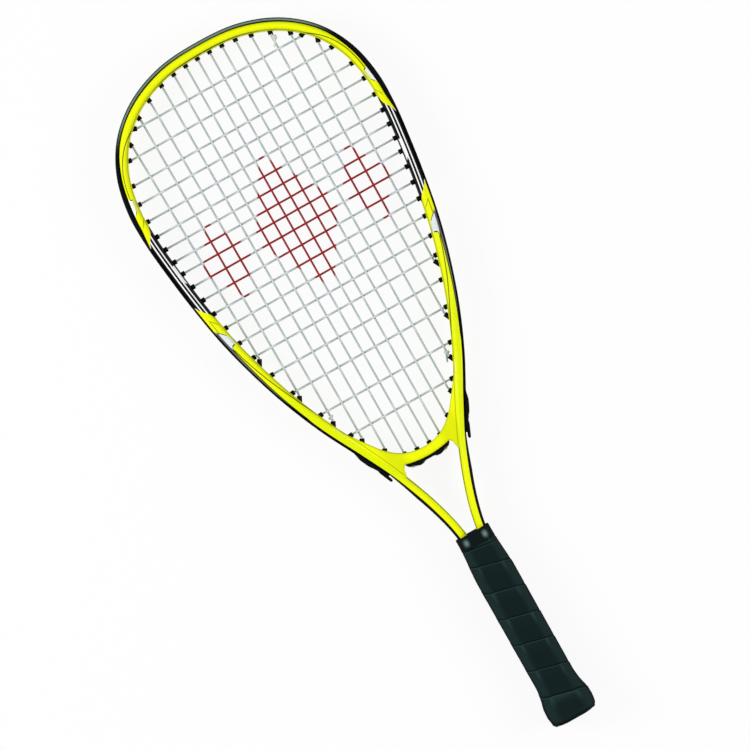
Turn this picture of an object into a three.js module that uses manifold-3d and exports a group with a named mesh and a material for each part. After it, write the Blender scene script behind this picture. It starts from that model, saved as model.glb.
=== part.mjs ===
// A racquetball racket, lying face up. All sizes are in millimetres.
// X runs across the head, Y from the butt at zero to the tip, and Z out of the plane of the strings.
import * as THREE from 'three';
import { mergeVertices } from 'three/addons/utils/BufferGeometryUtils.js';
import Module from 'manifold-3d';

const wasm = await Module();
wasm.setup();

// Overall sizes
const LENGTH = 558.8;
const HEAD_WIDTH = 208.4;
const HANDLE_LENGTH = 153.5;
const ARMS_WIDTH = 20; // across both ends of the tube inside the handle
const TUBE_END_Y = 12; // how far above the butt the tube ends

// The right outer edge, from near the tip down to the handle. The first number is the share of the way out from
// the tube's ends to the widest place of the head, the second the share of the height from the handle to the tip.
const OUTLINE_SHARES = [
  [0.244, 0.993], [0.552, 0.965], [0.786, 0.919], [0.929, 0.861], [0.992, 0.795], [0.994, 0.736],
  [0.96, 0.657], [0.915, 0.583], [0.856, 0.51], [0.771, 0.436], [0.662, 0.361], [0.526, 0.287],
  [0.361, 0.213], [0.206, 0.139], [0.083, 0.065], [0.017, 0.004], [0, -0.06],
];

// The frame seen from the front: its width from the strips' outside to the inner face, and its depth
const TIP_FACE = 9.9;
const SIDE_FACE = 9.1;
const THROAT_FACE = 8.9;
const ARM_FACE = 7.9;
const HANDLE_FACE = 7.4;
const TIP_DEPTH = 19;
const SIDE_DEPTH = 21;
const ARM_DEPTH = 19;
const HANDLE_DEPTH = 16;
const TUBE_WALL = 1.2;

// The tube's section from its outer shoulder to its inner face, as shares of its width and of half its depth, and
// the section of the hollow in it as shares of the hollow's own
const TUBE_SECTION_SHARES = [[0.16, 0.8], [0.36, 1], [0.66, 1], [0.9, 0.8], [1, 0.42]];
const HOLLOW_SECTION_SHARES = [[0, 0.75], [0.5, 1], [1, 0.32]];

// Fits
const FIT = 0.3; // between pieces that touch
const OVERRUN = 2; // how far a cutting body passes what it cuts

// Strings
const STRING = 1.35;
const STRING_SIDES = 5;
const MAIN_TOP_SHARES = [0.048, 0.144, 0.245, 0.356, 0.481, 0.602, 0.749];
const MAIN_FOOT_SHARES = [0.048, 0.141, 0.242, 0.344, 0.457, 0.57, 0.666];
const CROSS_SHARES = [
  0.902, 0.848, 0.797, 0.756, 0.715, 0.677, 0.644, 0.611, 0.58, 0.545,
  0.509, 0.472, 0.433, 0.39, 0.348, 0.296, 0.24, 0.169, 0.099,
];
const NOSE = 3.4; // how far a barrel stands out of the inner face
const OUTER_NOSE_SHARE = 0.7; // of it, at the feet of the outermost mains, which meet the frame at a narrow angle
const BEND_ROOM = 3.2; // between a barrel and the first string crossed
const TAIL = 6.5; // loose end left at a knot
const TOP_TAIL_SHARES = [0.85, -0.4, 0.3]; // of it, away from the hole, across and up
const FOOT_TAIL_SHARES = [-0.75, -0.5, -0.1];
const KNOT_STEPS = 8;
const LANE_LEAD = 3.3; // along the outside from a hole to where a string has moved over into its lane

// Grommet strips
const BORE = 2.3;
const BARREL_WALL = 0.5;
const BARREL_SIDES = 4;
const STRIP_BASE = 1;
const STRIP_RAIL = 1.2;
const BUMPER_WIDTH = 14;
const SIDE_STRIP_WIDTH = 12;
const BUMPER_PROUD = 3;
const SIDE_PROUD = 1.6;
const PROUD_FADE = 18; // half of the run over which one becomes the other
const EDGE_ROUND = 0.8;
const BUMPER_CROSSES = 10; // cross strings whose barrels belong to the bumper
const SQUARE_TO_FRAME_SHARE = 0.7; // how far a barrel leans from its string's line to square to the frame
const LOWER_CROSS_LEAN_SHARE = 0.35; // the same for the crosses of the side strips
const CLIP_LEAN_SHARE = 0.5;
const WIDEST_SHARE = 0.76; // where the head is widest, of the height from the handle to the tip

// Throat bridge
const BRIDGE_UP_SHARE = 0.174; // its string side on the axis, of the height from the handle to the tip
const BRIDGE_ARCH = 33.5; // from there up to where it meets the tube
const BRIDGE_THICK = 7;
const BRIDGE_DEPTH = 18;
const BRIDGE_ROUND = 1.2;
const BRIDGE_SHARES = [[0, 0], [0.34, 0.09], [0.6, 0.33], [0.83, 0.7], [1, 1]];
const CORNER_DROP = 7; // how far its lower corners run down the arms
const LOWER_HALF = 18; // half the width of its lower edge
const LOWER_RISE = 2.3; // how much that edge rises towards its ends
const BRIDGE_STRIP_THICK = 1.6;
const BUMP_HEIGHT = 1.9;

// Throat clips
const CLIP_BULGE = 1.9;
const CLIP_BULGE_SHARES = [[0.15, 0], [0.27, 0.9], [0.56, 1], [0.67, 0.15]]; // of the clip's length without its tail
const CLIP_TAIL_ROOT_SHARES = [0.62, 0.76]; // where its tail grows out of it
const CLIP_TAIL = 5.5; // past the last barrel
const SEAT_FADE = 26; // the run past the last barrel over which the tube's seat fades out
const CLIP_TAIL_THICK = 2;
const CLIP_TAIL_LIFT = 0.6; // the gap under its free end
const CLIP_TAIL_WIDTH = 7;

// Handle, an octagon longer across X
const PALLET_WIDTH = 26;
const PALLET_DEPTH = 22.8;
const FRONT_FLAT = 16;
const SIDE_FLAT = 11.2;
const PALLET_TOP = 2.5; // below the handle's top
const PALLET_STEP = 2;
const CAP_HEIGHT = 28;
const CAP_FLOOR = 2.2;
const CAP_UNDER = 1; // between the cap and the wound strip's seat
const FLARE = 3.3;
const FLARE_SHARES = [[0, 0.4], [0.11, 0.7], [0.32, 1], [0.57, 0.88], [0.8, 0.32], [1.1, 0]];
const TAPER = 0.9;
const TAPER_SHARES = [[0.76, 0], [0.81, -0.12], [0.86, -0.5], [0.91, -0.88], [1, -1]];
const CORD_HOLE = 3;
const CORD_HOLE_SPACING = 11;
const STAPLE_WIDTH = 5.9;
const STAPLE_WIRE = 0.9;
const STAPLE_LEG = 6.5;
const STAPLE_Y = 14;

// Wound strip, collar and tape
const WRAP_PITCH = 21.3;
const WRAP_GAP = 0.5;
const WRAP_THICK = 1.8;
const WRAP_THIN = 1.2; // at the top of the handle
const WRAP_THIN_SHARES = [0.78, 0.93]; // of the handle, the run over which it thins
const WRAP_START = 0.8;
const WRAP_TIP = 3; // width at its two cut ends
const WRAP_BEVEL = 0.9;
const COLLAR_HEIGHT = 9.7;
const COLLAR_THICK = 0.6;
const TAPE_THICK = 0.2;
const TAPE_INSET = 0.6;

// Sizes worked out from these
const HEAD_HALF = HEAD_WIDTH / 2;
const ARMS_HALF = ARMS_WIDTH / 2;
const FRAME_HEIGHT = LENGTH - HANDLE_LENGTH;
const BRIDGE_Y = HANDLE_LENGTH + BRIDGE_UP_SHARE * FRAME_HEIGHT;
const STRING_R = STRING / 2;
const STRING_STEP = STRING + FIT; // between the middles of two strings that pass each other
const LANE_Z = 1.5 * STRING_STEP;
const TAIL_LANE = STRING_R + FIT / 2; // depth of a string on top of the loops
const LOOP_LANE = TAIL_LANE + STRING_STEP;
const GROOVE_FLOOR = LOOP_LANE + STRING_R + FIT;
const BASE_BACK = GROOVE_FLOOR + STRIP_BASE;
const SEAT = BASE_BACK + FIT;
const GROOVE_HALF = LANE_Z + STRING_R + FIT;
const BASE_HALF = GROOVE_HALF + STRIP_RAIL;
const SEAT_HALF = BASE_HALF + FIT;
const SHOULDER_HALF = SEAT_HALF + 2 * FIT;
const FLAT_TO_CORNER = 1 / Math.cos(Math.PI / BARREL_SIDES);
const BORE_R = (BORE / 2) * FLAT_TO_CORNER;
const BARREL_R = BORE_R + BARREL_WALL * FLAT_TO_CORNER;
const HOLE_R = BARREL_R + FIT * FLAT_TO_CORNER;
const UP = new THREE.Vector3(0, 0, 1);

// Straight interpolation in a list of [place, value] stops
function along(place, stops) {
  if (place <= stops[0][0]) return stops[0][1];
  for (let i = 1; i < stops.length; i++) {
    const [from, a] = stops[i - 1];
    const [to, b] = stops[i];
    if (place <= to) return a + (b - a) * ((place - from) / (to - from));
  }
  return stops[stops.length - 1][1];
}

function steps(from, to, count) {
  return Array.from({ length: count + 1 }, (_, i) => from + ((to - from) * i) / count);
}

// A closed body through a row of rings with the same number of points, with a fan on each end
function skin(rings) {
  const count = rings[0].length;
  const points = rings.flat();
  const index = [];
  for (let r = 0; r < rings.length - 1; r++) {
    for (let i = 0; i < count; i++) {
      const a = r * count + i;
      const b = r * count + ((i + 1) % count);
      index.push(a, b, b + count, a, b + count, a + count);
    }
  }
  const ends = [[rings[0], 0, true], [rings[rings.length - 1], (rings.length - 1) * count, false]];
  for (const [ring, first, flip] of ends) {
    const middle = ring.reduce((sum, p) => sum.add(p), new THREE.Vector3()).divideScalar(count);
    points.push(middle);
    for (let i = 0; i < count; i++) {
      const a = first + i;
      const b = first + ((i + 1) % count);
      if (flip) index.push(b, a, points.length - 1);
      else index.push(a, b, points.length - 1);
    }
  }
  const geometry = new THREE.BufferGeometry().setFromPoints(points);
  geometry.setIndex(index);
  return faceOut(geometry);
}

// Turns a closed body's faces to point out of it
function faceOut(geometry) {
  const position = geometry.getAttribute('position');
  const index = geometry.getIndex().array;
  const corners = [new THREE.Vector3(), new THREE.Vector3(), new THREE.Vector3()];
  let volume = 0;
  for (let i = 0; i < index.length; i += 3) {
    corners.forEach((corner, k) => corner.fromBufferAttribute(position, index[i + k]));
    volume += corners[0].dot(corners[1].clone().cross(corners[2]));
  }
  if (volume < 0) {
    for (let i = 0; i < index.length; i += 3) [index[i], index[i + 1]] = [index[i + 1], index[i]];
  }
  return geometry;
}

function toSolid(source) {
  const geometry = source.clone();
  geometry.deleteAttribute('normal');
  geometry.deleteAttribute('uv');
  const merged = mergeVertices(geometry);
  return new wasm.Manifold(new wasm.Mesh({
    numProp: 3,
    vertProperties: new Float32Array(merged.getAttribute('position').array),
    triVerts: new Uint32Array(merged.getIndex().array),
  }));
}

function toGeometry(solid) {
  const { vertProperties, triVerts } = solid.getMesh();
  const geometry = new THREE.BufferGeometry();
  geometry.setAttribute('position', new THREE.BufferAttribute(vertProperties, 3));
  geometry.setIndex(new THREE.BufferAttribute(triVerts, 1));
  return geometry;
}

function join(solids) {
  return solids.reduce((all, solid) => all.add(solid));
}

function cut(solid, cutters) {
  return cutters.reduce((rest, cutter) => rest.subtract(cutter), solid);
}

// The racket's outer edge as a curve from the left end of the tube, over the tip, to its right end. A place on it
// is its distance from the tip, positive on the right, and is followed inwards at a right angle.
const rightPoints = OUTLINE_SHARES.map(([out, up]) => new THREE.Vector3(
  ARMS_HALF + out * (HEAD_HALF - ARMS_HALF), HANDLE_LENGTH + up * FRAME_HEIGHT, 0));
rightPoints.push(new THREE.Vector3(ARMS_HALF, TUBE_END_Y, 0));
const leftPoints = rightPoints.map((p) => new THREE.Vector3(-p.x, p.y, 0)).reverse();
const edgeCurve = new THREE.CatmullRomCurve3(
  [...leftPoints, new THREE.Vector3(0, LENGTH, 0), ...rightPoints], false, 'centripetal');
const fine = edgeCurve.getPoints(1600);
const finePlaces = [0];
for (let i = 1; i < fine.length; i++) finePlaces.push(finePlaces[i - 1] + fine[i].distanceTo(fine[i - 1]));
const EDGE_HALF = finePlaces[finePlaces.length - 1] / 2;

function finePoint(place) {
  const wanted = place + EDGE_HALF;
  let i = finePlaces.findIndex((value) => value >= wanted);
  if (i < 1) i = wanted <= 0 ? 1 : fine.length - 1;
  const share = (wanted - finePlaces[i - 1]) / (finePlaces[i] - finePlaces[i - 1]);
  return fine[i - 1].clone().lerp(fine[i], share);
}

// Stations along the edge, close together where it turns and further apart where it runs nearly straight
const STATION_LENGTH_SHARE = 0.048; // of the racket's length
const STATION_TURN = THREE.MathUtils.degToRad(11.5);
const PROBE = EDGE_HALF / 800;

function inwardAt(place) {
  const ahead = finePoint(Math.min(place + PROBE, EDGE_HALF));
  const run = ahead.sub(finePoint(Math.max(place - PROBE, -EDGE_HALF))).normalize();
  return new THREE.Vector3(run.y, -run.x, 0);
}

const rightPlaces = [0];
for (let place = 0; place < EDGE_HALF; place += PROBE) {
  const last = rightPlaces[rightPlaces.length - 1];
  const far = place - last > STATION_LENGTH_SHARE * LENGTH;
  if (far || inwardAt(place).angleTo(inwardAt(last)) > STATION_TURN) rightPlaces.push(place);
}
if (EDGE_HALF - rightPlaces[rightPlaces.length - 1] < 4 * PROBE) rightPlaces.pop();
rightPlaces.push(EDGE_HALF);
const stations = [...rightPlaces.slice(1).map((place) => -place).reverse(), ...rightPlaces].map((place) => ({
  place,
  point: finePoint(place),
  inward: inwardAt(place),
}));

// A point of the frame: its place along the edge, its depth inwards from the edge, and its height z
function at(place, depth, z = 0) {
  let i = stations.findIndex((station) => station.place >= place);
  if (i < 1) i = place <= stations[0].place ? 1 : stations.length - 1;
  const [a, b] = [stations[i - 1], stations[i]];
  const from = a.point.clone().addScaledVector(a.inward, depth);
  const to = b.point.clone().addScaledVector(b.inward, depth);
  from.lerp(to, (place - a.place) / (b.place - a.place));
  return from.setZ(z);
}

function placeAtHeight(y) {
  let low = 0;
  let high = EDGE_HALF;
  for (let i = 0; i < 40; i++) {
    const middle = (low + high) / 2;
    if (at(middle, 0).y > y) low = middle;
    else high = middle;
  }
  return low;
}

// Where a point lies: the nearest place along the right edge, and its depth there
function nearest(point) {
  let best = { depth: Infinity, place: 0 };
  for (let i = 1; i < stations.length; i++) {
    const line = new THREE.Line3(at(stations[i - 1].place, 0), at(stations[i].place, 0));
    const share = line.closestPointToPointParameter(point, true);
    const depth = line.at(share, new THREE.Vector3()).distanceTo(point);
    const place = THREE.MathUtils.lerp(stations[i - 1].place, stations[i].place, share);
    if (depth < best.depth) best = { depth, place };
  }
  return best;
}

function heightShare(place) {
  return (at(place, 0).y - HANDLE_LENGTH) / FRAME_HEIGHT;
}

const FACE_STOPS = [
  [-0.06, HANDLE_FACE], [0.02, HANDLE_FACE], [0.13, ARM_FACE], [0.22, THROAT_FACE],
  [0.5, THROAT_FACE], [0.66, SIDE_FACE], [0.76, TIP_FACE],
];
const DEPTH_STOPS = [
  [0, HANDLE_DEPTH], [0.14, ARM_DEPTH], [0.3, SIDE_DEPTH], [0.8, SIDE_DEPTH], [1, TIP_DEPTH],
];

function faceAt(place) {
  return along(heightShare(place), FACE_STOPS);
}

// The line of a main string, from the tip's height to the bridge's, and the height of a cross string
function mainX(main, y) {
  const top = MAIN_TOP_SHARES[main] * HEAD_HALF;
  const foot = MAIN_FOOT_SHARES[main] * HEAD_HALF;
  return foot + ((top - foot) * (y - BRIDGE_Y)) / (LENGTH - BRIDGE_Y);
}

function crossY(cross) {
  return BRIDGE_Y + CROSS_SHARES[cross] * (LENGTH - BRIDGE_Y);
}

// The place on the right side between two others where a test of the line at some reach inside changes sign
function findPlace(from, to, reach, test) {
  let low = from;
  let high = to;
  const side = Math.sign(test(at(low, faceAt(low) + reach)));
  for (let i = 0; i < 40; i++) {
    const middle = (low + high) / 2;
    if (Math.sign(test(at(middle, faceAt(middle) + reach))) === side) low = middle;
    else high = middle;
  }
  return at(low, faceAt(low) + reach);
}

// A hole through the frame for one string. It starts at the bend, a point on the string's line in front of the
// inner face, and runs out to the edge in a direction between the string's own and square to the frame.
function makeHole(bend, stringOut, squareShare, name) {
  const start = nearest(bend);
  const square = inwardAt(start.place).negate();
  const out = square.multiplyScalar(squareShare).addScaledVector(stringOut, 1 - squareShare).normalize();
  const reachDepth = (depth) => {
    let run = 0;
    for (let i = 0; i < 8; i++) {
      const here = nearest(bend.clone().addScaledVector(out, run));
      run += (here.depth - depth) / -out.dot(inwardAt(here.place));
    }
    return bend.clone().addScaledVector(out, run);
  };
  const exit = reachDepth(LOOP_LANE);
  return { name, side: 1, bend, out, exit, place: nearest(exit).place, reachDepth };
}

function mirrorPoint(p) {
  return new THREE.Vector3(-p.x, p.y, p.z);
}

function mirrorHole(hole) {
  return {
    name: hole.name,
    side: -1,
    bend: mirrorPoint(hole.bend),
    out: mirrorPoint(hole.out),
    exit: mirrorPoint(hole.exit),
    place: -hole.place,
    reachDepth: (depth) => mirrorPoint(hole.reachDepth(depth)),
  };
}

// The bridge's string side, as a curve from the axis to where it meets the right arm
const bridgeEndPlace = placeAtHeight(BRIDGE_Y + BRIDGE_ARCH - THROAT_FACE / 2);
const bridgeEnd = at(bridgeEndPlace, faceAt(bridgeEndPlace));
const bridgeTop = new THREE.SplineCurve(
  [...BRIDGE_SHARES.slice(1).map(([x, y]) => [-x, y]).reverse(), ...BRIDGE_SHARES].map(([x, y]) =>
    new THREE.Vector2(x * bridgeEnd.x, BRIDGE_Y + y * (bridgeEnd.y - BRIDGE_Y))));

function bridgeTopPoint(x) {
  const points = bridgeTop.getPoints(400);
  const i = points.findIndex((p) => p.x >= x);
  return new THREE.Vector3(x, points[i].y, 0);
}

function bridgeLowerY(x) {
  return BRIDGE_Y - BRIDGE_THICK + LOWER_RISE * (x / LOWER_HALF) ** 2;
}

// Holes on the right side. Mains 0 and 1 pass the bridge, 2 and 3 the bridge and the tube, the rest the tube.
const DOWN = new THREE.Vector3(0, -1, 0);
const OUTWARD = new THREE.Vector3(1, 0, 0);
const widestPlace = placeAtHeight(HANDLE_LENGTH + WIDEST_SHARE * FRAME_HEIGHT);
const throatPlace = placeAtHeight(BRIDGE_Y);
const topHoles = MAIN_TOP_SHARES.map((_, main) => makeHole(
  findPlace(0, widestPlace, NOSE, (p) => p.x - mainX(main, p.y)),
  DOWN.clone().negate(), SQUARE_TO_FRAME_SHARE, `top${main}`));
const footHoles = MAIN_FOOT_SHARES.map((_, main) => {
  if (main < 2) return null;
  const clipped = main < 4;
  const nose = main + 1 < MAIN_FOOT_SHARES.length ? NOSE : OUTER_NOSE_SHARE * NOSE;
  const bend = clipped
    ? bridgeTopPoint(mainX(main, BRIDGE_Y)).addScaledVector(DOWN, -NOSE)
    : findPlace(widestPlace, throatPlace, nose, (p) => p.x - mainX(main, p.y));
  if (clipped) bend.x = mainX(main, bend.y);
  return makeHole(bend, DOWN, clipped ? CLIP_LEAN_SHARE : SQUARE_TO_FRAME_SHARE, `foot${main}`);
});

function isCrossed(main, y) {
  const foot = footHoles[main] ? footHoles[main].bend.y : BRIDGE_Y;
  return y > foot && y < topHoles[main].bend.y;
}

const crossHoles = CROSS_SHARES.map((_, cross) => {
  const y = crossY(cross);
  const test = (p) => p.y - y;
  const face = findPlace(0, throatPlace, 0, test);
  const last = Math.max(...MAIN_TOP_SHARES.map((_, main) => (isCrossed(main, y) ? mainX(main, y) : 0)));
  const nose = Math.min(NOSE, face.x - last - BEND_ROOM + FIT);
  const lean = cross < BUMPER_CROSSES ? SQUARE_TO_FRAME_SHARE : LOWER_CROSS_LEAN_SHARE;
  return makeHole(findPlace(0, throatPlace, nose, test), OUTWARD, lean, `cross${cross}`);
});

// A straight prism between two points of the strings' plane, stretched along Z where two strings share a bore
function prism(from, to, radius, extraZ = 0) {
  const run = to.clone().sub(from).normalize();
  const across = run.clone().cross(UP);
  const ring = (middle) => Array.from({ length: BARREL_SIDES }, (_, i) => {
    const angle = ((2 * i + 1) * Math.PI) / BARREL_SIDES;
    const z = radius * Math.sin(angle);
    return middle.clone().addScaledVector(across, radius * Math.cos(angle))
      .addScaledVector(UP, z + Math.sign(Math.round(z / FIT)) * extraZ);
  });
  return toSolid(skin([ring(from), ring(to)]));
}

// Holes that two strings share, where a string is tied off
const TIED_HOLES = ['top4', 'foot4', 'foot3'];

function holePrism(hole, fromDepth, radius, mouthInset) {
  const mouth = hole.bend.clone().addScaledVector(hole.out, mouthInset);
  const extra = TIED_HOLES.includes(hole.name) ? STRING_STEP / 2 : 0;
  return prism(mouth, hole.reachDepth(fromDepth), radius, extra);
}

const MOUTH_INSET = 0.8; // the barrel starts this far behind the string's bend
const bore = (hole) => holePrism(hole, -OVERRUN, BORE_R, -OVERRUN);
const barrel = (hole) => holePrism(hole, LOOP_LANE, BARREL_R, MOUTH_INSET);
const tubeHole = (hole) => holePrism(hole, -OVERRUN, HOLE_R, -OVERRUN);

// Where each strip ends: halfway between the last hole of one and the first of the next
const gapAfter = (a, b) => (a.place + b.place) / 2;
const bumperEnd = gapAfter(crossHoles[BUMPER_CROSSES - 1], crossHoles[BUMPER_CROSSES]);
const clipStart = gapAfter(crossHoles[crossHoles.length - 1], footHoles[3]);
const clipEnd = footHoles[2].place + 1.5 * BARREL_R;
const tailEnd = clipEnd + CLIP_TAIL;
const seatEnd = clipEnd + SEAT_FADE;

const proudStops = [
  [bumperEnd - PROUD_FADE, BUMPER_PROUD], [bumperEnd + PROUD_FADE, SIDE_PROUD], [clipEnd, SIDE_PROUD], [seatEnd, 0],
];

function proudAt(place) {
  return along(Math.abs(place), proudStops);
}

// Half of the tube's section, from the outer face to the inner one, as [depth, z]
function tubeHalf(place) {
  const proud = proudAt(place);
  const seat = along(Math.abs(place), [[clipEnd, SEAT], [seatEnd, 0]]);
  const face = faceAt(place);
  const half = along(heightShare(place), DEPTH_STOPS) / 2;
  const width = face - proud;
  return [
    [Math.max(seat, proud), SEAT_HALF], [proud, SHOULDER_HALF],
    ...TUBE_SECTION_SHARES.map(([inner, up]) => [proud + inner * width, up * half]),
  ];
}

function mirroredRing(place, half) {
  const lower = half.map(([depth, z]) => [depth, -z]).reverse();
  return [...half, ...lower].map(([depth, z]) => at(place, depth, z));
}

const keyPlaces = [...proudStops.map(([place]) => place), bumperEnd, clipStart];
const allPlaces = [...stations.map((station) => station.place), ...keyPlaces, ...keyPlaces.map((place) => -place)]
  .sort((a, b) => a - b);

// The stations between two places, and the two places themselves
function placesBetween(from, to) {
  const inner = allPlaces.filter((place) => place > from + PROBE && place < to - PROBE);
  return [from, ...inner, to];
}

function tubeRings(from, to, halfSection) {
  return placesBetween(from, to).map((place) => mirroredRing(place, halfSection(place)));
}

// The tube's outside without its seat, grown by a clearance, to cut what lies against it
function envelopeHalf(place) {
  const [, shoulder, ...rest] = tubeHalf(place);
  const middle = (shoulder[0] + faceAt(place)) / 2;
  return [shoulder, ...rest].map(([depth, z]) => [depth + Math.sign(depth - middle) * FIT, z + FIT]);
}

function hollowHalf(place) {
  const [floor, shoulder] = tubeHalf(place);
  const front = Math.max(floor[0], shoulder[0]) + TUBE_WALL;
  const width = faceAt(place) - TUBE_WALL - front;
  const half = along(heightShare(place), DEPTH_STOPS) / 2 - 2 * TUBE_WALL;
  return HOLLOW_SECTION_SHARES.map(([inner, up]) => [front + inner * width, up * half]);
}

const part = new THREE.Group();

function add(name, geometry, color, roughness, metalness = 0) {
  const material = new THREE.MeshStandardMaterial({ color, roughness, metalness });
  const mesh = new THREE.Mesh(geometry, material);
  mesh.name = name;
  part.add(mesh);
}

const YELLOW = 0xeefb10;
const BLACK = 0x0b0d0e;
const SLATE = 0x39434a;
const STRING_GREY = 0xc9d0d2;
const GRIP_BLACK = 0x1f2c2c;
const FOAM = 0xcfc6ac;
const STEEL = 0xb4b8bb;

const bothSides = (holes) => [...holes, ...holes.map(mirrorHole)];
const clipHoles = [footHoles[2], footHoles[3]];
const sideHoles = [...crossHoles.slice(BUMPER_CROSSES), footHoles[4], footHoles[5], footHoles[6]];
const bumperHoles = [...topHoles, ...crossHoles.slice(0, BUMPER_CROSSES)];

function makeTube() {
  const body = toSolid(skin(tubeRings(-EDGE_HALF, EDGE_HALF, tubeHalf)));
  const hollowPlaces = [-EDGE_HALF - OVERRUN, ...allPlaces.slice(1, -1), EDGE_HALF + OVERRUN];
  const hollow = toSolid(skin(hollowPlaces.map((place) => mirroredRing(place, hollowHalf(place)))));
  const holes = bothSides([...bumperHoles, ...sideHoles, ...clipHoles]).map(tubeHole);
  return toGeometry(cut(body, [hollow, join(holes)]));
}

function stripHalf(place, width, bulge) {
  const under = proudAt(place) - FIT;
  const half = width / 2;
  return [[BASE_BACK, BASE_HALF], [under, BASE_HALF], [under, half], [EDGE_ROUND - bulge, half],
    [-bulge, half - EDGE_ROUND]];
}

const grooveHalf = () => [[GROOVE_FLOOR, GROOVE_HALF], [-LOOP_LANE - OVERRUN, GROOVE_HALF]];

// A grommet strip between two places: a flanged band with a groove for the strings and a barrel for each hole
function stripSolid(from, to, width, holes, bulge = () => 0, extraPlaces = []) {
  const places = [...placesBetween(from, to), ...extraPlaces].sort((a, b) => a - b);
  const band = toSolid(skin(places.map((place) => mirroredRing(place, stripHalf(place, width, bulge(place))))));
  const [first, last] = [places[0], places[places.length - 1]];
  const groovePlaces = [first - OVERRUN, ...places.slice(1, -1), last + OVERRUN];
  const groove = toSolid(skin(groovePlaces.map((place) => mirroredRing(place, grooveHalf()))));
  return cut(join([band, ...holes.map(barrel)]), [groove, ...holes.map(bore)]);
}

function mirrorSolid(solid) {
  return solid.mirror([1, 0, 0]);
}

const sideStrip = stripSolid(bumperEnd + FIT / 2, clipStart - FIT / 2, SIDE_STRIP_WIDTH, sideHoles);

// The clip bulges outwards, and ends in a tail that lifts off the arm
const clipPlace = (share) => THREE.MathUtils.lerp(clipStart, clipEnd, share);
const clipBulge = (place) => CLIP_BULGE * along((place - clipStart) / (clipEnd - clipStart), CLIP_BULGE_SHARES);

function makeClip() {
  const bends = CLIP_BULGE_SHARES.map(([share]) => clipPlace(share));
  const body = stripSolid(clipStart + FIT / 2, clipEnd, SIDE_STRIP_WIDTH, clipHoles, clipBulge, bends);
  const [rootStart, rootEnd] = CLIP_TAIL_ROOT_SHARES.map(clipPlace);
  const tail = steps(rootStart, tailEnd, 4).map((place) => {
    const share = (place - rootStart) / (tailEnd - rootStart);
    const inner = THREE.MathUtils.lerp(TAIL_LANE, -CLIP_TAIL_LIFT, share);
    return slab(place, inner, inner - CLIP_TAIL_THICK, CLIP_TAIL_WIDTH / 2);
  });
  const root = [rootStart, rootEnd].map((place) => slab(place, TAIL_LANE, -FIT, BASE_HALF + FIT));
  return join([body, toSolid(skin(tail)), toSolid(skin(root))]);
}

// A rectangular ring across the frame between two depths
function slab(place, inner, outer, half) {
  return [[inner, half], [outer, half], [outer, -half], [inner, -half]].map(([depth, z]) => at(place, depth, z));
}

// The bridge's mains run straight down, through vertical barrels, to the strip under it
const bridgeStripBase = (x) => bridgeLowerY(x) - FIT;
const bridgeLoopY = (x) => bridgeStripBase(x) - STRIP_BASE - FIT - STRING_R;
const bridgeMains = [0, 1].map((main) => {
  const x = mainX(main, BRIDGE_Y);
  return { x, bend: bridgeTopPoint(x).addScaledVector(DOWN, -NOSE / 2), loop: new THREE.Vector3(x, bridgeLoopY(x), 0) };
});

function bridgePrism(main, topInset, bottomY, radius) {
  const top = main.bend.clone().addScaledVector(DOWN, topInset);
  return prism(top, new THREE.Vector3(main.x, bottomY, 0), radius);
}

function onBothSides(solids) {
  return [...solids, ...solids.map(mirrorSolid)];
}

function makeBridge() {
  const cornerY = bridgeLowerY(LOWER_HALF) - CORNER_DROP;
  const armInside = findPlace(bridgeEndPlace, placeAtHeight(HANDLE_LENGTH), 0, (p) => p.y - cornerY);
  const endPlace = nearest(armInside).place;
  const armMiddle = steps(bridgeEndPlace, endPlace, 4).map((place) => at(place, faceAt(place) / 2));
  const shape = new THREE.Shape(bridgeTop.getPoints(16));
  armMiddle.forEach((p) => shape.lineTo(p.x, p.y));
  shape.lineTo(armInside.x, armInside.y);
  const lowerEnd = LOWER_HALF + FIT;
  const cornerTop = bridgeLowerY(lowerEnd);
  const cornerX = armInside.x - FIT;
  shape.quadraticCurveTo(cornerX, cornerTop, lowerEnd, cornerTop);
  steps(lowerEnd, -lowerEnd, 6).slice(1).forEach((x) => shape.lineTo(x, bridgeLowerY(x)));
  shape.quadraticCurveTo(-cornerX, cornerTop, -armInside.x, armInside.y);
  armMiddle.reverse().forEach((p) => shape.lineTo(-p.x, p.y));
  const geometry = new THREE.ExtrudeGeometry(shape, {
    depth: BRIDGE_DEPTH - 2 * BRIDGE_ROUND, bevelThickness: BRIDGE_ROUND, bevelSize: BRIDGE_ROUND,
    bevelOffset: -BRIDGE_ROUND, bevelSegments: 1, curveSegments: 3,
  });
  geometry.translate(0, 0, -BRIDGE_DEPTH / 2 + BRIDGE_ROUND);
  const armFrom = placeAtHeight(BRIDGE_Y + 2 * BRIDGE_ARCH);
  const armTo = placeAtHeight(HANDLE_LENGTH);
  const arm = toSolid(skin(tubeRings(armFrom, armTo, envelopeHalf)));
  const ownHoles = bridgeMains.map((main) => bridgePrism(main, -OVERRUN, main.loop.y - OVERRUN, HOLE_R));
  return toGeometry(cut(toSolid(geometry), [
    ...onBothSides([arm, ...ownHoles]), ...bothSides([...clipHoles, crossHoles[crossHoles.length - 1]]).map(tubeHole),
  ]));
}

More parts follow.
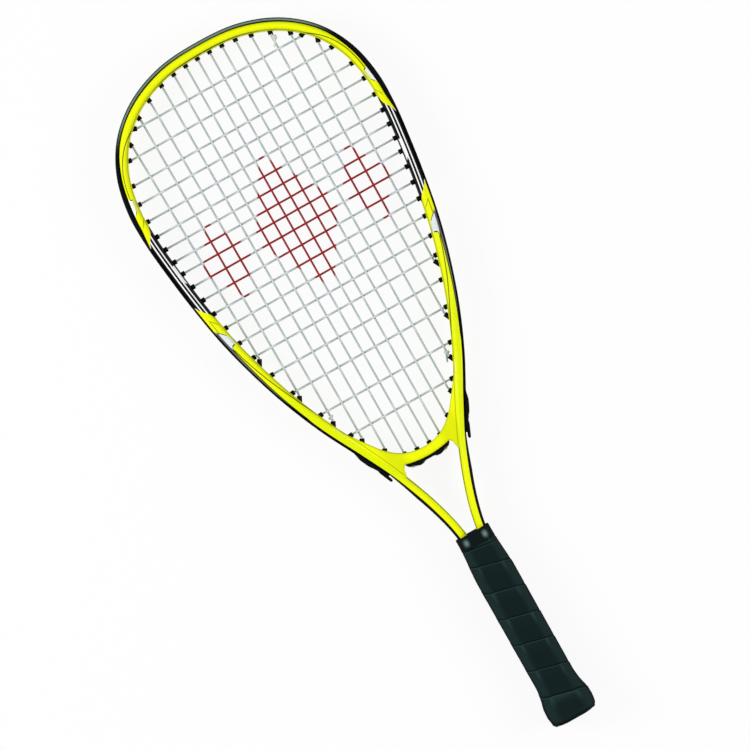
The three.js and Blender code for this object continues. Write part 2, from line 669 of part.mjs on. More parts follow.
function makeBridgeStrip() {
  const bumpMiddle = (bridgeMains[0].x + bridgeMains[1].x) / 2;
  const xs = steps(-LOWER_HALF, LOWER_HALF, 16);
  const thick = (x) => {
    const off = Math.min(1, Math.abs(Math.abs(x) - bumpMiddle) / bumpMiddle);
    return BRIDGE_STRIP_THICK + BUMP_HEIGHT * Math.cos((Math.PI / 2) * off) ** 2;
  };
  const half = BASE_HALF;
  const rings = xs.map((x) => [
    [bridgeStripBase(x), half], [bridgeStripBase(x) - thick(x), half - EDGE_ROUND],
    [bridgeStripBase(x) - thick(x), -half + EDGE_ROUND], [bridgeStripBase(x), -half],
  ].map(([y, z]) => new THREE.Vector3(x, y, z)));
  const grooveWide = STRING_R + FIT;
  const grooves = toSolid(skin(steps(bridgeMains[0].x - BORE_R, bridgeMains[1].x + BORE_R, 2).map((x) => {
    const top = bridgeStripBase(x) - STRIP_BASE;
    return [[top, grooveWide], [top - 3 * STRING, grooveWide], [top - 3 * STRING, -grooveWide], [top, -grooveWide]]
      .map(([y, z]) => new THREE.Vector3(x, y, z));
  })));
  const barrels = bridgeMains.map((main) => bridgePrism(main, MOUTH_INSET, bridgeStripBase(main.x) - STRIP_BASE / 2,
    BARREL_R));
  const bores = bridgeMains.map((main) => bridgePrism(main, -OVERRUN, main.loop.y - OVERRUN, BORE_R));
  return toGeometry(cut(join([toSolid(skin(rings)), ...onBothSides(barrels)]), onBothSides([grooves, ...bores])));
}

// A string as one tube through a list of points, mitred where it bends
function stringGeometry(points) {
  const rings = points.map((point, i) => {
    const before = point.clone().sub(points[Math.max(i - 1, 0)]).normalize();
    const after = points[Math.min(i + 1, points.length - 1)].clone().sub(point).normalize();
    if (before.lengthSq() === 0) before.copy(after);
    if (after.lengthSq() === 0) after.copy(before);
    const mitre = before.clone().add(after).normalize();
    const side = after.clone().cross(UP).normalize();
    const top = side.clone().cross(after);
    return Array.from({ length: STRING_SIDES }, (_, k) => {
      const angle = (2 * Math.PI * k) / STRING_SIDES;
      const offset = side.clone().multiplyScalar(STRING_R * Math.cos(angle))
        .addScaledVector(top, STRING_R * Math.sin(angle));
      offset.addScaledVector(after, -offset.dot(mitre) / after.dot(mitre));
      return point.clone().add(offset);
    });
  });
  return skin(rings);
}

// The points where a string goes out through a hole
function outThrough(hole, z = 0) {
  return [hole.bend.clone().setZ(z), hole.exit.clone().setZ(z)];
}

// A run along the outside at one depth and height, which follows the frame's stations
function laneRun(from, to, depth, z) {
  const places = placesBetween(Math.min(from, to), Math.max(from, to));
  if (from > to) places.reverse();
  return places.map((place) => at(place, depth, z));
}

// A loop along the outside from one hole to another. It keeps to a lane beside the holes that it passes.
function loopBetween(a, b, laneZ = 0, zA = 0, zB = 0) {
  const sign = Math.sign(b.place - a.place);
  const lead = laneZ === 0 ? STRING : LANE_LEAD;
  const run = laneRun(a.place + sign * lead, b.place - sign * lead, LOOP_LANE, laneZ);
  const middle = laneZ === 0 ? run.slice(1, -1) : run;
  return [...outThrough(a, zA), ...middle, ...outThrough(b, zB).reverse()];
}

// Half of the height between two strings that share a bore, and where the upper one is level with the bed again
const TIE_Z = STRING_STEP / 2;
const TIE_RUN = 1.4 * STRING;

function levelPoint(hole, farHole) {
  return hole.bend.clone().lerp(farHole.bend, TIE_RUN / hole.bend.distanceTo(farHole.bend));
}

// A tied end: it winds round the string beside it from a point on, and leaves a loose tail
function tie(hole, start, far, face, tailShares, turns) {
  const inward = far.clone().sub(start).normalize();
  const across = inward.clone().cross(UP).multiplyScalar(hole.side);
  const knot = steps(0, turns, KNOT_STEPS * turns).map((turn) => start.clone()
    .addScaledVector(inward, FIT + turn * STRING_STEP)
    .addScaledVector(UP, -face * STRING_STEP * Math.cos(2 * Math.PI * turn))
    .addScaledVector(across, STRING_STEP * Math.sin(2 * Math.PI * turn)));
  const [along1, sideways, lift] = tailShares;
  const end = knot[knot.length - 1].clone().addScaledVector(inward, along1 * TAIL)
    .addScaledVector(across, sideways * TAIL).addScaledVector(UP, face * lift * TAIL);
  return [...knot, end];
}

// A main string's foot under the bridge, looped to its neighbour's
function bridgeLoop(side) {
  const [inner, outer] = bridgeMains.map((main) => [
    main.bend, main.loop,
  ].map((p) => (side < 0 ? mirrorPoint(p) : p)));
  return [inner, outer];
}

function makeMainString() {
  return stringGeometry([...mainHalfPath(-1).reverse(), at(0, LOOP_LANE), ...mainHalfPath(1)]);
}

// One side of the main string, from the middle of the crown to its tied end
function mainHalfPath(side) {
  const tops = side > 0 ? topHoles : topHoles.map(mirrorHole);
  const feet = footHoles.map((hole) => (hole && side < 0 ? mirrorHole(hole) : hole));
  const [inner, outer] = bridgeLoop(side);
  const tied = feet[4];
  const level = levelPoint(tied, tops[4]);
  return [
    ...outThrough(tops[0]).reverse(),
    ...inner, ...outer.reverse(),
    ...loopBetween(tops[1], tops[2]),
    ...loopBetween(feet[2], feet[3], 0, 0, side < 0 ? TIE_Z : 0),
    ...(side < 0 ? [levelPoint(feet[3], tops[3])] : []),
    ...loopBetween(tops[3], tops[4], 0, 0, side > 0 ? TIE_Z : 0),
    ...(side > 0 ? [levelPoint(tops[4], tied)] : []),
    level,
    ...loopBetween(feet[4], feet[5], LANE_Z, TIE_Z, 0),
    ...loopBetween(tops[5], tops[6], LANE_Z),
    ...outThrough(feet[6]),
    ...laneRun(feet[6].place + side * LANE_LEAD, tied.place - side * STRING, TAIL_LANE, 0),
    tied.reachDepth(TAIL_LANE).setZ(-TIE_Z),
    tied.bend.clone().setZ(-TIE_Z),
    ...tie(tied, level, tops[4].bend, side, FOOT_TAIL_SHARES, 1),
  ];
}

// The cross string starts tied at the top right, weaves down the bed and ends at the lower left
function makeCrossString() {
  const tied = topHoles[4];
  const first = crossHoles[0];
  const points = tie(tied, levelPoint(tied, footHoles[4]), footHoles[4].bend, 1, TOP_TAIL_SHARES, 1.5).reverse();
  points.push(
    ...outThrough(tied, -TIE_Z),
    ...laneRun(tied.place + LANE_LEAD, first.place - LANE_LEAD, LOOP_LANE, -LANE_Z),
    ...outThrough(first).reverse(),
  );
  const lefts = crossHoles.map(mirrorHole);
  CROSS_SHARES.forEach((_, cross) => {
    const holes = cross % 2 === 0 ? lefts : crossHoles;
    points.push(...wovenPoints(cross));
    if (cross + 1 < CROSS_SHARES.length) {
      const passed = isPassed(holes[cross], holes[cross + 1]);
      points.push(...loopBetween(holes[cross], holes[cross + 1], passed ? -LANE_Z : 0));
    }
  });
  const last = lefts[lefts.length - 1];
  const end = mirrorHole(footHoles[3]);
  points.push(
    ...outThrough(last),
    ...laneRun(last.place - LANE_LEAD, end.place + LANE_LEAD, LOOP_LANE, -LANE_Z),
    end.exit.clone().setZ(-TIE_Z),
    end.bend.clone().setZ(-TIE_Z),
    end.bend.clone().addScaledVector(end.out, -TAIL / 2).setZ(-TIE_Z - TAIL / 3),
  );
  return stringGeometry(points);
}

// Whether a main string's hole lies between two holes of the cross string
function isPassed(a, b) {
  const [from, to] = [Math.abs(a.place), Math.abs(b.place)];
  return [...topHoles, ...footHoles].some((hole) => hole && hole.place > from && hole.place < to);
}

// Where a cross string passes the mains, over one and under the next
function wovenPoints(cross) {
  const y = crossY(cross);
  const mains = MAIN_TOP_SHARES.map((_, main) => main).filter((main) => isCrossed(main, y));
  const row = [...mains.map((main) => -1 - main).reverse(), ...mains].map((main) => {
    const x = main < 0 ? -mainX(-1 - main, y) : mainX(main, y);
    return new THREE.Vector3(x, y, (main + cross) % 2 === 0 ? STRING_STEP : -STRING_STEP);
  });
  return cross % 2 === 0 ? row.reverse() : row;
}

// The handle's octagon: its eight corners, and the direction in which each moves when the octagon grows by one
const corners = [
  [PALLET_WIDTH / 2, SIDE_FLAT / 2], [FRONT_FLAT / 2, PALLET_DEPTH / 2],
  [-FRONT_FLAT / 2, PALLET_DEPTH / 2], [-PALLET_WIDTH / 2, SIDE_FLAT / 2],
  [-PALLET_WIDTH / 2, -SIDE_FLAT / 2], [-FRONT_FLAT / 2, -PALLET_DEPTH / 2],
  [FRONT_FLAT / 2, -PALLET_DEPTH / 2], [PALLET_WIDTH / 2, -SIDE_FLAT / 2],
].map(([x, z]) => new THREE.Vector2(x, z));
const facing = corners.map((corner, i) => {
  const run = corners[(i + 1) % 8].clone().sub(corner).normalize();
  return new THREE.Vector2(run.y, -run.x);
});
const growth = corners.map((_, i) => {
  const before = facing[(i + 7) % 8];
  const sum = before.clone().add(facing[i]);
  return sum.divideScalar(1 + before.dot(facing[i]));
});

function octagon(grow, y) {
  return corners.map((corner, i) => new THREE.Vector3(
    corner.x + growth[i].x * grow, y, corner.y + growth[i].y * grow));
}

// How much the handle's seat for the strip swells at the butt and narrows at the top
function seatGrow(y) {
  return FLARE * along(y / CAP_HEIGHT, FLARE_SHARES) + palletGrow(y);
}

function palletGrow(y) {
  return TAPER * along(y / HANDLE_LENGTH, TAPER_SHARES);
}

function stapleSolid(face, clearance) {
  const half = STAPLE_WIDTH / 2 + clearance;
  const inner = STAPLE_WIDTH / 2 - STAPLE_WIRE - clearance;
  const open = clearance > 0 ? 2 * OVERRUN : 0;
  const top = stapleTop;
  const crown = top - STAPLE_WIRE - clearance;
  const tip = top - STAPLE_LEG - clearance;
  const shape = new THREE.Shape([
    [-half, top + open], [-half, tip], [-inner, tip], [-inner, crown],
    [inner, crown], [inner, tip], [half, tip], [half, top + open],
  ].map(([x, z]) => new THREE.Vector2(x, z)));
  const wide = STAPLE_WIRE + 2 * clearance;
  const geometry = new THREE.ExtrudeGeometry(shape, { depth: wide, bevelEnabled: false });
  geometry.rotateX(Math.PI / 2);
  geometry.translate(0, STAPLE_Y + wide / 2, 0);
  if (face < 0) geometry.rotateY(Math.PI);
  return toSolid(geometry);
}

const stapleTop = PALLET_DEPTH / 2 + seatGrow(STAPLE_Y) - CAP_UNDER;

function makePallet(face) {
  const top = HANDLE_LENGTH - PALLET_TOP;
  const stops = [CAP_FLOOR + FIT, CAP_HEIGHT, CAP_HEIGHT + FIT,
    ...TAPER_SHARES.map(([share]) => share * HANDLE_LENGTH).filter((y) => y < top), top];
  const rings = stops.map((y) => {
    const grow = y <= CAP_HEIGHT ? -PALLET_STEP : palletGrow(y);
    const whole = octagon(grow, y);
    const half = face > 0 ? whole.slice(0, 4) : whole.slice(4, 8);
    const split = (face * FIT) / 2;
    return [...half, half[3].clone().setZ(split), half[0].clone().setZ(split)];
  });
  const armFrom = placeAtHeight(HANDLE_LENGTH + 4 * OVERRUN);
  const arm = toSolid(skin([
    ...tubeRings(armFrom, EDGE_HALF, envelopeHalf),
    mirroredRing(EDGE_HALF + TUBE_END_Y, envelopeHalf(EDGE_HALF)),
  ]));
  return toGeometry(cut(toSolid(skin(rings)), [...onBothSides([arm]), stapleSolid(face, FIT)]));
}

function makeCap() {
  const heights = FLARE_SHARES.map(([share]) => share * CAP_HEIGHT).filter((y) => y < 0.9 * CAP_HEIGHT);
  const outer = [...heights, CAP_HEIGHT - FIT].map((y) => octagon(seatGrow(y) + FIT - CAP_UNDER, y));
  const inside = [CAP_FLOOR, CAP_HEIGHT + OVERRUN].map((y) => octagon(FIT - PALLET_STEP, y));
  const holes = [-1, 1].map((side) => {
    const hole = new THREE.CylinderGeometry(CORD_HOLE / 2, CORD_HOLE / 2, 4 * OVERRUN, 8);
    hole.translate((side * CORD_HOLE_SPACING) / 2, 0, 0);
    return toSolid(hole);
  });
  return toGeometry(cut(toSolid(skin(outer)), [
    toSolid(skin(inside)), ...holes, stapleSolid(1, FIT), stapleSolid(-1, FIT),
  ]));
}

// A sleeve round the handle between two heights, with its inside and outside as growths of the octagon
function sleeve(from, to, insideGrow, outsideGrow) {
  const outside = toSolid(skin(steps(from, to, 2).map((y) => octagon(outsideGrow(y), y))));
  const bottom = octagon(insideGrow(from), from - OVERRUN);
  const top = octagon(insideGrow(to), to + OVERRUN);
  return toGeometry(outside.subtract(toSolid(skin([bottom, top]))));
}

// The wound strip. Its upper edge climbs one pitch a turn, and both edges are trimmed level at the two ends.
const wrapTop = HANDLE_LENGTH - COLLAR_HEIGHT - FIT;

function wrapStations() {
  const lengths = corners.map((corner, i) => corners[(i + 1) % 8].distanceTo(corner));
  const round = lengths.reduce((sum, length) => sum + length, 0);
  const marks = [];
  let travelled = 0;
  corners.forEach((corner, i) => {
    const next = (i + 1) % 8;
    marks.push({ share: travelled / round, base: corner, grow: growth[i] });
    marks.push({
      share: (travelled + lengths[i] / 2) / round,
      base: corner.clone().lerp(corners[next], 0.5),
      grow: facing[i],
    });
    travelled += lengths[i];
  });
  return marks;
}

function makeWrap() {
  const marks = wrapStations();
  const width = WRAP_PITCH - WRAP_GAP;
  const rings = [];
  const startTurn = WRAP_TIP / WRAP_PITCH;
  const endTurn = (wrapTop - WRAP_START + width - WRAP_TIP) / WRAP_PITCH;
  for (let i = Math.ceil(startTurn * marks.length); i <= Math.floor(endTurn * marks.length); i++) {
    const mark = marks[i % marks.length];
    const turn = Math.floor(i / marks.length) + mark.share;
    const climb = WRAP_START + turn * WRAP_PITCH;
    const upper = Math.min(climb, wrapTop);
    const lower = Math.max(climb - width, WRAP_START);
    if (upper - lower < WRAP_TIP) continue;
    rings.push(wrapRing(mark, lower, upper));
  }
  return { geometry: skin(rings), gap: leastGap(rings, marks.length) };
}

function wrapRing(mark, lower, upper) {
  const thinning = WRAP_THIN_SHARES.map((share, i) => [share, i === 0 ? WRAP_THICK : WRAP_THIN]);
  const thick = (y) => along(y / HANDLE_LENGTH, thinning);
  const point = (y, out) => new THREE.Vector3(
    mark.base.x + mark.grow.x * (seatGrow(y) + FIT + out), y, mark.base.y + mark.grow.y * (seatGrow(y) + FIT + out));
  const inner = steps(lower, upper, 2).map((y) => point(y, 0));
  const bevel = Math.min(WRAP_BEVEL, (upper - lower) / 4);
  const outer = [upper - bevel, (lower + upper) / 2, lower + bevel].map((y) => point(y, thick(y)));
  return [...inner, ...outer];
}

// The least distance between points of the strip and the edge lines of the turn above
function leastGap(rings, perTurn) {
  let least = Infinity;
  for (let i = 0; i + perTurn < rings.length; i++) {
    const upperEdge = rings[i][2];
    for (let j = i + perTurn - 2; j < Math.min(i + perTurn + 2, rings.length - 1); j++) {
      const line = new THREE.Line3(rings[j][0], rings[j + 1][0]);
      const close = line.closestPointToPoint(upperEdge, true, new THREE.Vector3());
      if (upperEdge.y < wrapTop - FIT) least = Math.min(least, close.distanceTo(upperEdge));
    }
  }
  return least;
}

add('frame_tube', makeTube(), YELLOW, 0.25);
add('throat_bridge', makeBridge(), YELLOW, 0.3);
add('bumper_guard', toGeometry(stripSolid(-bumperEnd + FIT / 2, bumperEnd - FIT / 2, BUMPER_WIDTH,
  bothSides(bumperHoles))), SLATE, 0.45);
add('side_strip_right', toGeometry(sideStrip), BLACK, 0.45);
add('side_strip_left', toGeometry(mirrorSolid(sideStrip)), BLACK, 0.45);
const clip = makeClip();
add('throat_clip_right', toGeometry(clip), BLACK, 0.45);
add('throat_clip_left', toGeometry(mirrorSolid(clip)), BLACK, 0.45);
add('bridge_strip', makeBridgeStrip(), BLACK, 0.45);
add('main_string', makeMainString(), STRING_GREY, 0.35);
add('cross_string', makeCrossString(), STRING_GREY, 0.35);
add('pallet_front', makePallet(1), FOAM, 0.9);
add('pallet_back', makePallet(-1), FOAM, 0.9);
add('butt_cap', makeCap(), BLACK, 0.5);
add('cap_staple_front', toGeometry(stapleSolid(1, 0)), STEEL, 0.3, 0.9);
add('cap_staple_back', toGeometry(stapleSolid(-1, 0)), STEEL, 0.3, 0.9);
const wrap = makeWrap();
console.log(`least gap between turns of the wound strip: ${wrap.gap.toFixed(2)} mm`);
add('grip_wrap', wrap.geometry, GRIP_BLACK, 0.8);
const tapeFrom = HANDLE_LENGTH - COLLAR_HEIGHT + TAPE_INSET;
const tapeTo = HANDLE_LENGTH - PALLET_TOP - TAPE_INSET;
const tapeInside = (y) => palletGrow(y) + FIT;
add('finishing_tape', sleeve(tapeFrom, tapeTo, tapeInside, (y) => tapeInside(y) + TAPE_THICK), BLACK, 0.6);
const collarInside = () => palletGrow(tapeFrom) + 2 * FIT + TAPE_THICK;
add('grip_collar', sleeve(HANDLE_LENGTH - COLLAR_HEIGHT, HANDLE_LENGTH, collarInside,
  () => collarInside() + COLLAR_THICK), BLACK, 0.2);

export default part;
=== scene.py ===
"""A racquetball racket, face up: its frame, grommet strips, strings and handle, and the stage round it."""

import math
from functools import reduce
from types import SimpleNamespace

import bmesh
import bpy
import numpy as np
from bpy.props import FloatProperty, FloatVectorProperty, PointerProperty
from mathutils import Matrix, Vector


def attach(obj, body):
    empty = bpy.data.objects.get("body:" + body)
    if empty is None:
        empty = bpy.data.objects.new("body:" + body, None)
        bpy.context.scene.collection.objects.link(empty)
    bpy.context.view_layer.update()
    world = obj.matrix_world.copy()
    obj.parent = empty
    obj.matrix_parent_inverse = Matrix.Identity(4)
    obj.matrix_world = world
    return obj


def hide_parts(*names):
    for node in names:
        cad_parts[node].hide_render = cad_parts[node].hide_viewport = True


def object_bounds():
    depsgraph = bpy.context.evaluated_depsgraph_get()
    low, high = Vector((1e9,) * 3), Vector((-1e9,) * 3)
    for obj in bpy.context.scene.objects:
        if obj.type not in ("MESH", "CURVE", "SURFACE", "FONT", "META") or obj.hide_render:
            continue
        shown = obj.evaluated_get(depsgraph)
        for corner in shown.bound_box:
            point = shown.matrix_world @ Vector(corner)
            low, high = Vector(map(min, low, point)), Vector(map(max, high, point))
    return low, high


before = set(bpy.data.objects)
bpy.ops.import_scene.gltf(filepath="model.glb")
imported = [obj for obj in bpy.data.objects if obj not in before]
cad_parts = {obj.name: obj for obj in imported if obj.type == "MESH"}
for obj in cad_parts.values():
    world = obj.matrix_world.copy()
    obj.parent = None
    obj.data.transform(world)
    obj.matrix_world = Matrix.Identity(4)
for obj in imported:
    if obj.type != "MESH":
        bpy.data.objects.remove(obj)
CAD_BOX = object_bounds()

bl_info = {
    "name": "Racquetball racket",
    "version": (1, 0, 0),
    "blender": (4, 5, 0),
    "location": "View3D > Sidebar > Racket",
    "description": "Builds the finished pieces of a racquetball racket over its solid model",
    "category": "Object",
}

MM = 0.001
X_AXIS, Y_AXIS, Z_AXIS = Vector((1, 0, 0)), Vector((0, 1, 0)), Vector((0, 0, 1))

# Overall sizes, as in the solid model
LENGTH = 558.8 * MM
HEAD_HALF = 104.2 * MM
HANDLE_LENGTH = 153.5 * MM
FRAME_HEIGHT = LENGTH - HANDLE_LENGTH
ARMS_HALF = 10 * MM
TUBE_END_Y = 12 * MM

# The right outer edge from near the tip to the handle: shares of the way out from the tube's ends to the
# widest place, and of the height from the handle to the tip
OUTLINE_SHARES = [
    (0.244, 0.993), (0.552, 0.965), (0.786, 0.919), (0.929, 0.861), (0.992, 0.795), (0.994, 0.736),
    (0.96, 0.657), (0.915, 0.583), (0.856, 0.51), (0.771, 0.436), (0.662, 0.361), (0.526, 0.287),
    (0.361, 0.213), (0.206, 0.139), (0.083, 0.065), (0.017, 0.004), (0, -0.06),
]

# The tube's section from its outer shoulder to its inner face: shares of its width and of half its depth
TUBE_SECTION_SHARES = [
    (0.02, 0.63), (0.07, 0.72), (0.15, 0.83), (0.25, 0.93), (0.36, 0.985), (0.5, 1), (0.64, 0.985),
    (0.76, 0.925), (0.86, 0.81), (0.935, 0.64), (0.98, 0.43), (0.997, 0.2), (1, 0),
]
SEAT = 4.75 * MM  # depth of the groove that the strips lie in
SEAT_HALF = 4.95 * MM
SHOULDER_HALF = 5.55 * MM
SEAT_FADE = 26 * MM
TUBE_RINGS = 170

# Heights at which the frame's width and depth are given, as shares of the way from the handle to the tip
FACE_SHARES = (-0.06, 0.02, 0.13, 0.22, 0.5, 0.66, 0.76)
DEPTH_SHARES = (0, 0.14, 0.3, 0.8, 1)
# Distances from the tip where the strip starts to stand out further, does so fully, falls back and is level
PROUD_PLACES = (105 * MM, 142 * MM, 164 * MM, 179 * MM)

# Strings and the holes they pass
MAIN_TOP_SHARES = (0.048, 0.144, 0.245, 0.356, 0.481, 0.602, 0.749)
MAIN_FOOT_SHARES = (0.048, 0.141, 0.242, 0.344, 0.457, 0.57, 0.666)
CROSS_SHARES = (
    0.902, 0.848, 0.797, 0.756, 0.715, 0.677, 0.644, 0.611, 0.58, 0.545,
    0.509, 0.472, 0.433, 0.39, 0.348, 0.296, 0.24, 0.169, 0.099,
)
NOSE = 2.7 * MM
BEND_ROOM = 1.2 * MM
MOUTH_BACK = 0.3 * MM
OUTER_NOSE_SHARE, CLIP_NOSE_SHARE = 1.15, 1.5
SQUARE_TO_FRAME_SHARE, LOWER_CROSS_LEAN_SHARE, CLIP_LEAN_SHARE = 0.4, 0.25, 0.4
BUMPER_CROSSES = 10
WIDEST_SHARE = 0.76
LANE_LEAD = 3.3 * MM
TAIL = 6.5 * MM
STEP = 1.65 * MM  # between the middles of two strings that pass each other outside the bed
LANE_Z = 1.5 * STEP
TAIL_LANE = 0.825 * MM
LOOP_LANE = TAIL_LANE + STEP
GROOVE_FLOOR = 3.45 * MM
GROOVE_HALF = 3.45 * MM
BASE_BACK = 4.45 * MM
BASE_HALF = 4.65 * MM
TIED_HOLES = ("top4", "foot4", "foot3")
FIRST_SIDE_FOOT = 4  # of the mains' feet: two pass the bridge, two the clip, and the others the side strip
BRIDGE_BENDS = (2.3 * MM, 1.1 * MM)  # how far above the bridge its two mains bend
BRIDGE_LOOP_DROP = 2.3 * MM
CLIP_PAST_HOLE = 3.5 * MM
CLIP_TAIL = 5.5 * MM

# Bridge
BRIDGE_Y = 224 * MM
BRIDGE_ARCH = 33.5 * MM
BRIDGE_THICK = 7 * MM
BRIDGE_SHARES = [(0, 0), (0.34, 0.09), (0.6, 0.33), (0.83, 0.7), (1, 1)]
CORNER_DROP = 7 * MM
LOWER_HALF = 18 * MM
LOWER_RISE = 2.3 * MM

# Handle: an octagon longer across X, which swells at the butt and narrows at the top
FLARE_SHARES = [(0, 0.4), (0.11, 0.7), (0.32, 1), (0.57, 0.88), (0.8, 0.32), (1.1, 0)]
TAPER_SHARES = [(0.76, 0), (0.81, -0.12), (0.86, -0.5), (0.91, -0.88), (1, -1)]
CAP_HEIGHT = 28 * MM
FLARE = 3.3 * MM
TAPER = 0.9 * MM
COLLAR_HEIGHT = 9.7 * MM


def shade(red, green, blue):
    """A linear colour from its values of 0 to 255 on a screen."""
    def linear(value):
        value /= 255
        return value / 12.92 if value <= 0.04045 else ((value + 0.055) / 1.055) ** 2.4
    return tuple(linear(v) for v in (red, green, blue))


def tinted(tone, share):
    """A colour made darker or brighter by a share."""
    return tuple(min(1, v * share) for v in tone)


def length(name, description, default):
    return FloatProperty(name=name, description=description, default=default, min=0, unit="LENGTH",
                         precision=5)


def colour(name, description, default):
    return FloatVectorProperty(name=name, description=description, default=default, min=0, max=1, size=3,
                               subtype="COLOR")


class RacketFrameSizes(bpy.types.PropertyGroup):
    """Sizes of the frame and of what is clipped to it"""

    tip_face: length("Face at the tip", "Width of the frame seen from the front, at the tip", 9.2 * MM)
    side_face: length("Face at the sides", "The same at the widest part of the head", 9.1 * MM)
    throat_face: length("Face at the throat", "The same above the bridge", 8.9 * MM)
    arm_face: length("Face of the arms", "The same below the bridge", 7.9 * MM)
    handle_face: length("Face at the handle", "The same where the arms enter the handle", 7.4 * MM)
    tip_depth: length("Depth at the tip", "Front to back depth of the tube at the tip", 19 * MM)
    side_depth: length("Depth at the sides", "The same at the sides", 21 * MM)
    arm_depth: length("Depth of the arms", "The same below the bridge", 19 * MM)
    handle_depth: length("Depth at the handle", "The same at the handle", 16 * MM)
    bumper_proud: length("Bumper stands out", "How far the bumper stands out of the tube", 2.6 * MM)
    shoulder_proud: length("Bumper at its shoulders", "The same where it covers most of the tube", 3.5 * MM)
    side_proud: length("Side strips stand out", "How far the side strips stand out of the tube", 1.45 * MM)
    bumper_width: length("Bumper width", "Front to back width of the bumper", 14 * MM)
    side_width: length("Side strip width", "Front to back width of the side strips and clips", 12 * MM)
    bridge_depth: length("Bridge depth", "Front to back depth of the bridge", 18 * MM)


class RacketStringSizes(bpy.types.PropertyGroup):
    """Sizes of the strings and their barrels"""

    gauge: length("Gauge", "Thickness of both strings", 1.6 * MM)
    weave: length("Weave", "How far a string rises or sinks where it passes another", 0.78 * MM)
    barrel: length("Barrel", "Outer radius of a barrel", 1.85 * MM)
    bore: length("Bore", "Radius of the hole in a barrel", 1.0 * MM)
    motif_half_width: length("Motif half width", "Half of the middle painted diamond's width", 34 * MM)
    motif_half_height: length("Motif half height", "Half of its height", 56 * MM)
    motif_middle: length("Motif middle", "Height of its middle above the butt", 411 * MM)
    motif_side_share: FloatProperty(
        name="Side diamonds", description="Their size as a share of the middle one", default=0.58,
        min=0.1, max=1)


class RacketHandleSizes(bpy.types.PropertyGroup):
    """Sizes of the handle and its covering"""

    width: length("Width", "Width of the bare handle", 26 * MM)
    depth: length("Depth", "Depth of the bare handle", 22.8 * MM)
    front_flat: length("Front flat", "Width of the flat at the front and back", 16 * MM)
    side_flat: length("Side flat", "Width of the flat at the sides", 11.2 * MM)
    pitch: length("Winding pitch", "How far one turn of the strip climbs", 21.3 * MM)
    thick: length("Strip thickness", "Thickness of the wound strip", 2.1 * MM)
    thin: length("Strip at the top", "Thickness of the strip where it ends", 1.2 * MM)


class RacketColours(bpy.types.PropertyGroup):
    """Colours of the racket"""

    yellow: colour("Yellow", "Lacquer of the frame and the bridge", shade(244, 253, 8))
    black: colour("Black", "Painted bands and moulded strips", shade(5, 7, 8))
    silver: colour("Silver", "Pale patches and lines on the frame", shade(230, 238, 238))
    # The slate grey of the bumper's tip is a painted highlight
    highlighted_bumper: colour("Slate", "The bumper at the tip", shade(122, 144, 135))
    string: colour("String", "Both strings", shade(176, 187, 190))
    motif: colour("Motif", "The shapes painted on the strings", shade(146, 2, 14))
    grip: colour("Grip", "The wound strip", shade(20, 33, 33))
    foam: colour("Foam", "The handle's core", shade(207, 198, 172))


def between(value, stops):
    """The value of a list of (place, value) stops at a place."""
    return float(np.interp(value, [s[0] for s in stops], [s[1] for s in stops]))


def smooth_curve(points, per_span):
    """Points along a smooth curve that passes through all of a row of points."""
    points = [Vector(p) for p in points]
    padded = [2 * points[0] - points[1], *points, 2 * points[-1] - points[-2]]
    curve = []
    for a, b, c, d in zip(padded, padded[1:], padded[2:], padded[3:]):
        ab, bc, cd = (max((q - p).length ** 0.5, 1e-5) for p, q in ((a, b), (b, c), (c, d)))
        leave = ((b - a) / ab - (c - a) / (ab + bc) + (c - b) / bc) * bc
        reach = ((c - b) / bc - (d - b) / (bc + cd) + (d - c) / cd) * bc
        for i in range(per_span):
            t = i / per_span
            curve.append(b + t * leave + t * t * (3 * (c - b) - 2 * leave - reach)
                         + t ** 3 * (2 * (b - c) + leave + reach))
    return [*curve, points[-1]]


class Edge:
    """The racket's outer edge. A place on it is the distance from the tip, positive on the right."""

    def __init__(self):
        right = [Vector((ARMS_HALF + out * (HEAD_HALF - ARMS_HALF), HANDLE_LENGTH + up * FRAME_HEIGHT, 0))
                 for out, up in OUTLINE_SHARES] + [Vector((ARMS_HALF, TUBE_END_Y, 0))]
        left = [Vector((-p.x, p.y, 0)) for p in reversed(right)]
        self.points = np.array(smooth_curve([*left, Vector((0, LENGTH, 0)), *right], 40))[:, :2]
        gaps = np.linalg.norm(np.diff(self.points, axis=0), axis=1)
        self.places = np.concatenate([[0], np.cumsum(gaps)])
        self.half = float(self.places[-1]) / 2
        self.places -= self.half
        run = np.gradient(self.points, self.places, axis=0)
        run /= np.linalg.norm(run, axis=1)[:, None]
        self.inwards = np.stack([run[:, 1], -run[:, 0]], axis=1)

    def inward(self, place):
        x, y = (float(np.interp(place, self.places, self.inwards[:, k])) for k in (0, 1))
        return Vector((x, y, 0)).normalized()

    def at(self, place, depth=0.0, z=0.0):
        """A point of the frame, from its place, its depth inwards from the edge, and its height."""
        x, y = (float(np.interp(place, self.places, self.points[:, k])) for k in (0, 1))
        inward = self.inward(place)
        return Vector((x + inward.x * depth, y + inward.y * depth, z))

    def nearest(self, point):
        """The nearest place to a point, and the point's depth there."""
        offset = self.points - np.array(point[:2])
        i = int(np.argmin((offset ** 2).sum(1)))
        i = min(max(i, 1), len(self.points) - 2)
        run = self.points[i + 1] - self.points[i - 1]
        share = float(-offset[i - 1] @ run / (run @ run))
        place = float(self.places[i - 1] + share * (self.places[i + 1] - self.places[i - 1]))
        foot = self.at(place)
        return place, (Vector((*point[:2], 0)) - foot).dot(self.inward(place))

    def place_at_height(self, y):
        """Where the right edge passes a height."""
        low, high = 0.0, self.half
        for _ in range(40):
            middle = (low + high) / 2
            if self.at(middle).y > y:
                low = middle
            else:
                high = middle
        return low


edge = Edge()


def height_share(place):
    return (edge.at(place).y - HANDLE_LENGTH) / FRAME_HEIGHT


def frame_sizes():
    return bpy.context.scene.racket_frame


